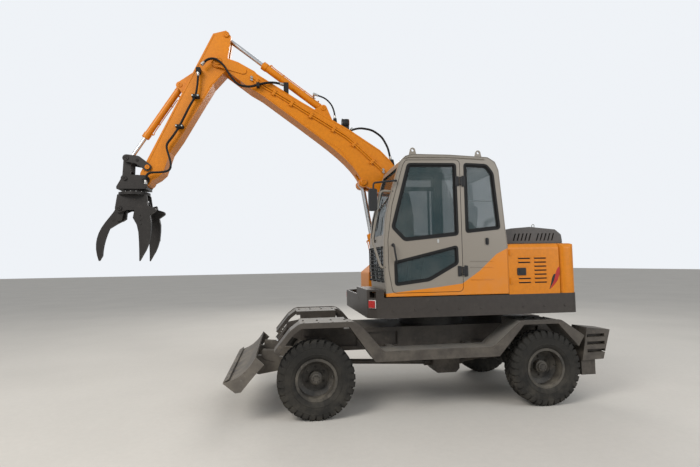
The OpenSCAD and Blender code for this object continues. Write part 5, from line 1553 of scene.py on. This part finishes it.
@dataclass
class Interior:
    """Seat, levers, pedals and floor mat behind the glass."""

    middle: float = -0.555
    floor: float = 1.360
    lever_out: float = 0.310
    squareness: float = 0.35
    edge_round: float = 0.45
    stitch_depth: float = 0.006
    stitch_width: float = 0.10
    stitch_half: float = 0.62

    def pad(self, name: str, lo: Point, hi: Point, crown: float, pleats: int,
            tilt: float = 0.0) -> bpy.types.Object:
        """A stuffed cushion: a rounded box with a crown, stitched pleats and piping.

        Args:
            name: the piece's name.
            lo: its lowest corner before it is tilted.
            hi: its highest corner.
            crown: how far its top rises in the middle.
            pleats: stitched channels across its middle.
            tilt: lean towards the back, in radians.

        Returns:
            The object.
        """
        half = [(b - a) / 2 for a, b in zip(lo, hi)]
        centre = Vector([(a + b) / 2 for a, b in zip(lo, hi)])
        rows, cols = 40, 72
        points = []
        for i in range(rows + 1):
            v = -math.pi / 2 + math.pi * i / rows
            for u in turns(cols):
                x = half[0] * power(math.cos(v), self.squareness) * power(math.cos(u), self.squareness)
                y = half[1] * power(math.cos(v), self.squareness) * power(math.sin(u), self.squareness)
                z = (half[2] - crown) * power(math.sin(v), self.edge_round)
                if math.sin(v) > 0:
                    swell = max(0.0, 1 - (x / half[0]) ** 2) * max(0.0, 1 - (y / half[1]) ** 2)
                    z += crown * swell
                    if abs(y) < half[1] * self.stitch_half and abs(x) < half[0] * 0.9:
                        phase = (y / half[1] / (2 * self.stitch_half) + 0.5) * pleats
                        near = math.exp(-((phase - round(phase)) / self.stitch_width) ** 2)
                        z -= self.stitch_depth * near * (math.sin(v) ** 2)
                points.append((x, y, z))
        faces = []
        for low in range(0, rows * cols, cols):
            for k in range(cols):
                j = (k + 1) % cols
                faces.append((low + k, low + j, low + cols + j, low + cols + k))
        shape = Shape().add(points, faces)
        piping = [(half[0] * 0.985 * power(math.cos(a), self.squareness),
                   half[1] * 0.985 * power(math.sin(a), self.squareness), (half[2] - crown) * 0.55)
                  for a in turns(64)]
        shape.sweep(piping, 0.005, 8, True)
        shape.moved(Matrix.Translation(centre) @ Matrix.Rotation(tilt, 4, "Y"))
        obj = shape.place(name, Look.FABRIC, "upper", smooth=60)
        return obj

    def seat(self) -> None:
        """Seat cushion and back, in place of the plain ones."""
        y = self.middle
        base = self.pad("seat_cushion_pad", (0.875, y - 0.245, 1.565), (1.365, y + 0.245, 1.682), 0.028, 4)
        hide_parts("seat_cushion")
        back = self.pad("seat_back_pad", (1.095, y - 0.235, 1.935), (1.885, y + 0.235, 2.035), 0.024, 4,
                        math.radians(-81.5))
        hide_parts("seat_back")

    def levers(self) -> None:
        """Gaiters of the levers, arm rests, pedal grips and the floor mat."""
        y, floor = self.middle, self.floor
        gaiters, rests, pedals = Shape(), Shape(), Shape()
        folds = [(0.045, 0.0)]
        for k in range(6):
            r = 0.044 - 0.004 * k
            folds += [(r, 0.006 + 0.012 * k), (r - 0.006, 0.012 + 0.012 * k)]
        folds.append((0.016, 0.082))
        rest = rounded([(0.960, floor + 0.40), (1.310, floor + 0.40), (1.310, floor + 0.445),
                        (0.960, floor + 0.455)], 0.015)
        for s in (-1, 1):
            out = y + self.lever_out * s
            gaiters.lathe(folds, (0.878, out, floor + 0.378), (-0.16, 0, 1), 28, False)
            rests.prism(rest, out - 0.035, out + 0.035)
            for k in range(5):
                x = 0.478 + 0.016 * k
                pedals.box((x, y + 0.110 * s - 0.042, floor + 0.160),
                           (x + 0.008, y + 0.110 * s + 0.042, floor + 0.166))
        gaiters.place("lever_gaiters", Look.RUBBER, "upper")
        rests.place("arm_rests", Look.FABRIC, "upper", bevel=0.012)
        pedals.place("pedal_grips", Look.RUBBER, "upper")
        mat = Shape().box((0.44, -0.92, floor), (0.80, -0.20, floor + 0.006))
        mat.place("floor_mat", Look.RUBBER, "upper", bevel=0.002)

    def build(self) -> None:
        """Builds the inside of the cab."""
        self.seat()
        self.levers()


@dataclass(frozen=True)
class Ram:
    """One hydraulic cylinder's barrel: where it is pinned, how long it is and what carries it."""

    name: str
    body: str
    base: tuple[float, float]
    eye: tuple[float, float]
    y: float
    r: float
    reach: float
    look: Look = Look.AMBER
    pipe_side: int = -1
    port_back: float = 0.085
    low_port: float = 0.12

    def at(self, d: float, out: float = 0.0) -> Vector:
        """The point at a distance along the axis, moved outwards in its upright plane.

        Args:
            d: distance from the base pin.
            out: distance from the axis.

        Returns:
            The point.
        """
        way = Vector((self.eye[0] - self.base[0], 0, self.eye[1] - self.base[1])).normalized()
        up = Vector((-way.z, 0, way.x))
        return Vector((self.base[0], self.y, self.base[1])) + way * d + up * out

    def gland(self, way: Vector) -> None:
        """The gland's ring and bolts at the barrel's open end.

        Args:
            way: the axis' direction.
        """
        r, end, gland = self.r, self.at(self.reach), Shape()
        gland.lathe([(r + 0.0008, -0.070), (r + 0.0065, -0.068), (r + 0.0065, -0.046), (r + 0.004, -0.044),
                     (r + 0.004, -0.036), (r + 0.0065, -0.034), (r + 0.0065, -0.004), (r * 0.85, 0.006),
                     (r * 0.62, 0.008), (r * 0.62, -0.002), (r * 0.80, -0.070)], tuple(end), tuple(way), 40)
        side = way.orthogonal().normalized()
        other = way.cross(side)
        for a in turns(8):
            out = (side * math.cos(a) + other * math.sin(a)) * r * 0.80
            gland.stud(end + way * 0.002 + out, tuple(way), 0.0045, 0.006)
        gland.place(f"{self.name}_gland", self.look, self.body, bevel=0.0008, slot=Slot.AMBER)

    def pipe(self, way: Vector) -> None:
        """The steel pipe along the barrel with its ports and clips.

        Args:
            way: the axis' direction.
        """
        r, side, port = self.r, self.pipe_side, self.reach - self.port_back
        out = (r + 0.014) * side
        lines = Shape()
        path = [self.at(port, 0.75 * out), self.at(port, out + 0.006 * side),
                self.at(self.reach - 0.105, out + 0.010 * side), self.at(self.reach - 0.16, out),
                self.at(0.24, out), self.at(0.17, out + 0.003 * side)]
        lines.sweep(eased(path, 4), 0.006, 10)
        for d in (port, self.low_port):
            lines.sweep([self.at(d, 0.80 * r * side), self.at(d, (r + 0.016) * side)], [0.014, 0.012], 6)
        lines.place(f"{self.name}_pipe", self.look, self.body, slot=Slot.AMBER)
        clips = Shape()
        band = [(r - 0.001, 0.0), (r + 0.0016, 0.0), (r + 0.0016, 0.012), (r - 0.001, 0.012)]
        for d in (self.reach * 0.35, self.reach * 0.70):
            clips.lathe(band, tuple(self.at(d)), tuple(way), 36)
            clips.sweep([self.at(d - 0.004, r * side), self.at(d - 0.004, (r + 0.022) * side)], 0.008, 8)
        clips.place(f"{self.name}_clips", self.look, self.body, slot=Slot.AMBER)

    def build(self) -> None:
        """Builds the barrel's gland, pipe and the weld bead at its base."""
        way = (self.at(1.0) - self.at(0.0)).normalized()
        self.gland(way)
        self.pipe(way)
        bead = Shape()
        bead.sweep(ring(self.at(0.058 + 0.3 * self.r), self.r + 0.0010, tuple(way), 40), 0.0035, 8, True)
        bead.place(f"{self.name}_weld", self.look, self.body, slot=Slot.AMBER)


def eye_cap(shape: Shape, x: float, z: float, y: float, out: int, r: float, bolts: int = 4) -> None:
    """Adds a pin's end: flange, domed face, keeper bolts and a grease nipple.

    Args:
        shape: the shape that it goes to.
        x: the pin's place along the machine.
        z: the pin's height.
        y: the face that it stands on.
        out: -1 or 1, the way along y that it faces.
        r: the flange's radius.
        bolts: how many keeper bolts it has.
    """
    shape.lathe([(0.0, 0.0), (r, 0.0), (r, out * 0.006), (r * 0.86, out * 0.010), (r * 0.55, out * 0.010),
                 (r * 0.50, out * 0.006), (0.0, out * 0.006)], (x, y, z), Y_AXIS, 36, False)
    circle = (r * 0.72, r * 0.72)
    shape.bolt_ring((x, y + out * 0.009, z), circle, (0, out, 0), bolts, r * 0.11, 0.006)
    shape.sweep([(x, y + out * d, z) for d in (0.005, 0.012, 0.018)], [0.006, 0.005, 0.003], 10)


def pin_ends(shape: Shape, at: tuple[float, float], near: float, far: float, r: float,
             bolts: int = 4) -> None:
    """Adds both ends of a pin that lies along y.

    Args:
        shape: the shape that they go to.
        at: the pin's (x, z).
        near: the face of its near end.
        far: the face of its far end.
        r: the flanges' radius.
        bolts: how many keeper bolts each end has.
    """
    eye_cap(shape, *at, near, -1, r, bolts)
    eye_cap(shape, *at, far, 1, r, bolts)


@dataclass
class Boom:
    """Pins, weld beads, pipe clamps and the work lamp of the boom."""

    near: float = -0.030
    far: float = 0.270
    bracket: tuple[float, float] = (-0.078, 0.318)
    lug_half: float = 0.074
    clamp_deep: float = 0.027
    pipes: tuple = ((0.570, 2.930), (0.080, 3.390), (-0.515, 3.750), (-1.195, 4.160))
    clamps_on: tuple[int, ...] = (2, 2, 3)
    pipe_pitch: float = 0.034

    def pins(self) -> None:
        """Flanged ends of the boom's pins."""
        caps = Shape()
        pin_ends(caps, BOOM_TIP, self.near - 0.018, self.far + 0.018, 0.056)
        caps.place("tip_pin_caps", Look.AMBER, "boom_body", bevel=0.001)
        caps = Shape()
        pin_ends(caps, LIFT_EYE, self.near - 0.012, self.far + 0.012, 0.044)
        caps.place("lift_pin_caps", Look.AMBER, "boom_body", bevel=0.001)
        caps = Shape()
        pin_ends(caps, BOOM_FOOT, *self.bracket, 0.062)
        pin_ends(caps, (BOOM_FOOT[0] - 0.365, BOOM_FOOT[1] - 0.300), *self.bracket, 0.044)
        caps.place("foot_pin_caps", Look.BLACK, "upper", bevel=0.001)
        caps = Shape()
        pin_ends(caps, ARM_RAM_BASE, WORK_PLANE - self.lug_half, WORK_PLANE + self.lug_half, 0.034, 2)
        caps.place("arm_base_caps", Look.AMBER, "boom_body", bevel=0.001)

    def welds(self) -> None:
        """Beads along the boom's plates and lugs."""
        shape = Shape()
        back = BOOM_FOOT[0] + 0.060
        top = [(back, 1.75), (back, 2.25), (0.945, 2.47), (0.905, 2.66), (0.830, 2.86), (0.735, 2.99),
               (0.650, 3.080), (0.518, 3.214), (0.113, 3.479), (-0.551, 3.855), (-1.110, 4.200)]
        under = [(0.665, 2.44), (0.640, 2.54), (0.560, 2.62), (0.470, 2.66)]
        lower = [(0.140, 2.98), (-0.035, 3.20), (-0.291, 3.362), (-0.554, 3.558), (-1.047, 3.919),
                 (-1.201, 4.008)]
        for line, along, up in ((top, -0.008, -0.016), (lower, 0.0048, 0.016), (under, 0.0042, 0.014)):
            for y in (self.near - BEAD_OUT, self.far + BEAD_OUT):
                seam(shape, [(x + along, y, z + up) for x, z in line], PLATE_BEAD)
        for y in (0.066 - 0.024, 0.174 + 0.024):
            seam(shape, [(-0.383, y, 3.765), (-0.300, y, 3.718), (-0.110, y, 3.608)], 0.006)
        shape.place("boom_welds", Look.AMBER, "boom_body")

    def clamps(self) -> None:
        """Two-bolt clamps on the steel pipes, and couplings at their ends."""
        shape = Shape()
        line = [Vector(p) for p in self.pipes]
        face = self.near - self.clamp_deep
        for a, b, n in zip(line, line[1:], self.clamps_on):
            way = (b - a).normalized()
            up = Vector((way.y, -way.x))
            for k in range(n):
                p = a + (b - a) * ((k + 0.6) / n)
                corners = [p + way * u + up * v for u, v in square(-0.018, -0.062, 0.018, 0.026)]
                shape.prism([(v.x, v.y) for v in corners], face, self.near)
                for v in (0.018, -0.017, -0.052):
                    c = p + up * v
                    shape.stud((c.x, face, c.y), NEARWARD, 0.006, 0.006)
        shape.place("pipe_clamps", Look.AMBER, "boom_body", bevel=0.002)
        ends = Shape()
        y = self.near - 0.0113
        for p, beyond in ((line[0], line[1]), (line[3], line[2])):
            way = (beyond - p).normalized()
            for k in range(2):
                c = p - Vector((0, self.pipe_pitch * k)) + way * 0.004
                d = c + way * 0.034
                ends.sweep([(c.x, y, c.y), (d.x, y, d.y)], 0.0155, 6)
        ends.place("pipe_couplings", Look.ZINC, "boom_body")

    def lamp(self) -> None:
        """Work lamp on the boom: case, bracket bolts, rim and lens."""
        x, y, z = 0.015, 0.012, 3.585
        case = Shape()
        shell = [(0.0, 0.094), (0.040, 0.093), (0.0535, 0.086), (0.0540, 0.010), (0.0575, 0.004),
                 (0.0575, -0.006), (0.050, -0.008), (0.050, 0.001), (0.0, 0.001)]
        case.lathe(shell, (x, y, z), X_AXIS, 40, False)
        for d in (0.010 * k for k in range(5)):
            rib = [(0.0535, 0.036 + d), (0.0562, 0.037 + d), (0.0562, 0.040 + d), (0.0535, 0.041 + d)]
            case.lathe(rib, (x, y, z), X_AXIS, 40)
        case.place("boom_lamp_case", Look.PLASTIC, "boom_body")
        foot = Shape()
        foot.prism([(-0.006, 3.520), (0.108, 3.462), (0.1040, 3.560), (0.014, 3.560)], y - 0.0215, y + 0.0215)
        foot.stud((0.055, y - 0.0215, 3.520), NEARWARD, 0.009, 0.008)
        foot.place("boom_lamp_bracket", Look.BLACK, "boom_body", bevel=0.001)
        lens = Shape()
        dome = [(0.0, -0.0050), (0.026, -0.0040), (0.050, -0.001), (0.050, 0.002), (0.0, 0.002)]
        lens.lathe(dome, (x, y, z), X_AXIS, 40, False)
        lens.place("boom_lamp_lens", Look.LENS, "boom_body")

    def build(self) -> None:
        """Builds the boom's dressing."""
        self.pins()
        self.welds()
        self.clamps()
        self.lamp()


@dataclass
class Hoses:
    """Ferrules, nuts and clamp bolts on the hoses of the boom and the arm."""

    pitch: float = 0.025
    bend_plane: float = WORK_PLANE
    ram_plane: float = 0.018
    arm_plane: float = -0.048
    pivot_plane: float = -0.072
    deck_plane: float = -0.010
    port: tuple[float, float] = (-1.262, 2.373)

    def ferrule(self, shape: Shape, a: Point, b: Point, r: float = 0.0155) -> None:
        """Adds a crimped collar and a nut.

        Args:
            shape: the shape that they go to.
            a: where the nut starts.
            b: a point that the collar reaches towards.
            r: the collar's radius.
        """
        a, b = Vector(a), Vector(b)
        way = (b - a).normalized()
        shape.sweep([a, a + way * 0.016], r * 1.12, 6)
        path = [a + way * d for d in (0.014, 0.018, 0.046, 0.050)]
        shape.sweep(path, [r * 0.8, r, r, r * 0.85], 16)

    def build(self) -> None:
        """Builds the hose fittings of both nodes, and the port on the arm cylinder's barrel."""
        tx, tz = BOOM_TIP
        fx, fz = BOOM_FOOT
        boom, arm, port = Shape(), Shape(), Shape()
        for k in range(2):
            y = self.deck_plane - self.pitch * k
            self.ferrule(boom, (tx + 0.850, y, tz - 0.2795), (tx + 0.790, y - 0.012, tz - 0.270))
            y = self.pivot_plane - self.pitch * k
            self.ferrule(boom, (tx - 0.1905, y, tz - 0.0815), (tx - 0.150, y, tz - 0.036))
            y = self.bend_plane - self.pitch * (k - 0.5)
            self.ferrule(boom, (fx - 0.765, y, fz + 1.912), (fx - 0.744, y, fz + 1.935))
            self.ferrule(boom, (fx - 0.200, y, fz + 1.510), (fx - 0.212, y, fz + 1.570))
            y = self.arm_plane - self.pitch * k
            self.ferrule(arm, (tx - 0.2352, y, tz - 0.174), (tx - 0.238, y, tz - 0.235))
            self.ferrule(arm, (tx - 0.862, y, tz - 1.629), (tx - 0.862, y, tz - 1.570))
        y = self.ram_plane
        self.ferrule(boom, (fx - 0.983, y, fz + 2.040), (fx - 0.984, y, fz + 2.100))
        self.ferrule(boom, (fx - 1.254, y, fz + 2.371), (fx - 1.200, y, fz + 2.353))
        boom.place("boom_hose_fittings", Look.ZINC, "boom_body")
        for x, z in ((-0.267, -0.486), (-0.463, -0.884)):
            for s in (-1, 1):
                arm.stud((tx + x + 0.034 * s, -0.093, tz + z), NEARWARD, 0.007, 0.007)
        arm.place("arm_hose_fittings", Look.ZINC, "arm_body")
        px, pz = fx + self.port[0], fz + self.port[1]
        port.rod((px, y, pz), (px, 0.060, pz), 0.013, 12)
        port.sweep([(px, y, pz), (px, 0.002, pz)], 0.016, 6)
        port.rod((px, 0.058, pz), (px, 0.092, pz - 0.035), 0.013, 12)
        port.place("arm_barrel_port", Look.ZINC, "arm_cylinder")


@dataclass
class Arm:
    """Pins and welds of the arm, the tool linkage and the rotator."""

    near: float = -0.002
    far: float = 0.242
    lug_half: float = 0.068
    rocker: tuple[float, float] = (-0.024, 0.264)
    head: tuple[float, float] = (-0.030, 0.270)
    rotator: tuple[float, float] = (-0.160, -0.080)
    head_ring: tuple[float, float] = (0.150, 0.130)
    turntable_ring: float = 0.165

    def welds(self) -> None:
        """Beads along the arm's plates."""
        tx, tz = BOOM_TIP
        px, pz = TOOL_PIN
        shape = Shape()
        left = [(tx - 0.059, tz + 0.365), (tx - 0.300, tz - 0.140), (tx - 0.700, tz - 0.975),
                (px - 0.030, pz + 0.105)]
        right = [(tx + 0.100, tz - 0.125), (tx - 0.070, tz - 0.308), (tx - 0.232, tz - 0.590),
                 (tx - 0.477, tz - 1.020), (px + 0.287, pz + 0.350)]
        for line, d in ((left, 0.014), (right, -0.014)):
            for y in (self.near - BEAD_OUT, self.far + BEAD_OUT):
                seam(shape, [(x + d, y, z) for x, z in line], PLATE_BEAD)
        shape.place("arm_welds", Look.AMBER, "arm_body")

    def pins(self) -> None:
        """Ends of the pins in the arm, the rocker and the tool head."""
        tx, tz = BOOM_TIP
        px, pz = TOOL_PIN
        caps = Shape()
        pin_ends(caps, (tx + 0.110, tz + 0.375), self.near - 0.010, self.far + 0.010, 0.037)
        pin_ends(caps, (px + 0.030, pz + 0.160), self.near - 0.028, self.far + 0.028, 0.030, 2)
        lugs = WORK_PLANE - self.lug_half, WORK_PLANE + self.lug_half
        pin_ends(caps, (tx - 0.485, tz - 0.305), *lugs, 0.030, 2)
        caps.place("arm_pin_caps", Look.AMBER, "arm_body", bevel=0.001)
        caps = Shape()
        pin_ends(caps, (px - 0.225, pz + 0.275), *self.rocker, 0.033, 3)
        pin_ends(caps, (px - 0.095, pz + 0.250), *self.rocker, 0.018, 0)
        caps.place("rocker_caps", Look.IRON, "rocker_body", bevel=0.001)
        caps = Shape()
        pin_ends(caps, TOOL_PIN, *self.head, 0.034, 3)
        pin_ends(caps, (px - 0.235, pz + 0.015), *self.head, 0.027, 3)
        caps.place("head_caps", Look.IRON, "head", bevel=0.001)

    def rotator_bolts(self) -> None:
        """Bolts of the tool head's flange and of the turntable below it."""
        x, z = TOOL_PIN[0] + self.rotator[0], TOOL_PIN[1] + self.rotator[1]
        shape = Shape().bolt_ring((x, WORK_PLANE, z), self.head_ring, Z_AXIS, 10, 0.010, 0.012)
        shape.place("head_bolts", Look.ZINC, "head")
        r = self.turntable_ring
        shape = Shape().bolt_ring((x, WORK_PLANE, z - 0.071), (r, r), Z_AXIS, 16, 0.008, 0.008, 0.0)
        shape.place("turntable_bolts", Look.ZINC, "grapple")

    def build(self) -> None:
        """Builds the arm's dressing."""
        self.welds()
        self.pins()
        self.rotator_bolts()


@dataclass
class Grapple:
    """Pins, welds and wear plates of the jaws."""

    left: tuple[float, float] = (-2.805, 2.430)
    right: tuple[float, float] = (-2.515, 2.430)
    middle: float = WORK_PLANE
    cheek: float = 0.118
    spread: float = 0.225
    tine_half: float = 0.030
    ear: float = 0.090
    ear_half: float = 0.060

    def build(self) -> None:
        """Builds the grapple's dressing."""
        y = self.middle
        caps = Shape()
        for at in (self.left, self.right):
            pin_ends(caps, at, y - self.cheek, y + self.cheek, 0.030, 3)
        caps.place("jaw_pin_caps", Look.IRON, "grapple", bevel=0.001)
        for name, (x, z) in (("left", self.left), ("right", self.right)):
            ears = Shape()
            pin_ends(ears, (x, z + self.ear), y - self.ear_half, y + self.ear_half, 0.018, 0)
            ears.place(f"{name}_ear_caps", Look.IRON, f"jaw_{name}", bevel=0.001)
        plates = Shape()
        x, z = self.right
        outline = [(x + 0.105, z - 0.255), (x + 0.118, z - 0.235), (x + 0.112, z - 0.395),
                   (x + 0.098, z - 0.415)]
        for tine in (y - self.spread, y + self.spread):
            plates.prism(outline, tine - self.tine_half, tine + self.tine_half)
            for d in (0.0, 0.055, 0.110):
                plates.stud((x - 0.005 + 0.10 * d, tine - 0.028, z - 0.105 - d), NEARWARD, 0.009, 0.006)
        plates.place("right_wear_plates", Look.IRON, "jaw_right", bevel=0.002)
        beads = Shape()
        x, z = self.left
        line = ((0.010, 0.060), (0.060, 0.115), (0.110, 0.155))
        for wall in (y - 0.028, y + 0.028):
            seam(beads, [(x - front, wall, z - down) for front, down in line], 0.004)
        beads.place("left_jaw_welds", Look.BLACK, "jaw_left")


RAMS = (
    Ram("lift_ram", "lift_cylinder", (0.535, 1.300), LIFT_EYE, WORK_PLANE, 0.055, 0.800, pipe_side=1),
    Ram("arm_ram", "arm_cylinder", ARM_RAM_BASE, (-1.505, 4.725), WORK_PLANE, 0.048, 0.997),
    Ram("tool_ram", "tool_cylinder", (-2.100, 4.045), (-2.725, 3.060), WORK_PLANE, 0.042, 0.817, pipe_side=1),
    *(Ram(f"blade_ram_{hand}", "blade_cylinders", (-0.714, 0.874), (-0.895, 0.631), y, 0.032, 0.235,
          Look.FRAME) for hand, y in (("left", -0.365), ("right", 0.365))),
)


def finish_nodes() -> None:
    """Gives every node that stays in view its finish."""
    paint({
        Look.FRAME: ["main_frame", "rear_steps", "drive_line"],
        Look.DECK: ["side_decks"],
        Look.BLACK: ["front_axle", "rear_axle", "left_knuckle", "right_knuckle", "steering_cylinder",
                     "slew_ring", "engine_block", "bulkhead"],
        Look.GREY: ["handrail"],
        Look.RIM: ["front_left_rim", "front_right_rim", "rear_left_rim", "rear_right_rim"],
        Look.BLADE: ["blade"],
        Look.SKIRT: ["skirt", "upper_frame", "blade_barrels"],
        Look.HOOD: ["engine_hood"],
        Look.AMBER: ["left_side_panel", "right_side_panel", "tank_cover", "boom", "arm", "lift_barrel",
                     "arm_barrel", "tool_barrel", "counterweight", "boom_pipes"],
        Look.CAB: ["cab_shell", "cab_door"],
        Look.GLASS: ["cab_glass", "door_glass"],
        Look.PLASTIC: ["cab_controls", "mirror"],
        Look.RED: ["marker_lamps"],
        Look.IRON: ["rocker", "link", "tool_head", "grapple_body", "left_jaw", "right_jaw", "jaw_barrel"],
        Look.CHROME: ["steering_rod", "blade_rods", "lift_rod", "arm_rod", "tool_rod", "jaw_rod"],
        Look.RUBBER: ["boom_hoses", "arm_hoses"],
    })


def main() -> None:
    """Builds the scene in order."""
    logging.basicConfig(level=logging.INFO, format="%(message)s")
    Studio().build()
    finish_nodes()
    for part in (Wheels(), Chassis(), Blade(), UpperBody(), Cab(), Interior(), Boom(), Hoses(), Arm()):
        part.build()
    for part in (*RAMS, Grapple()):
        part.build()


if __name__ == "__main__":
    main()
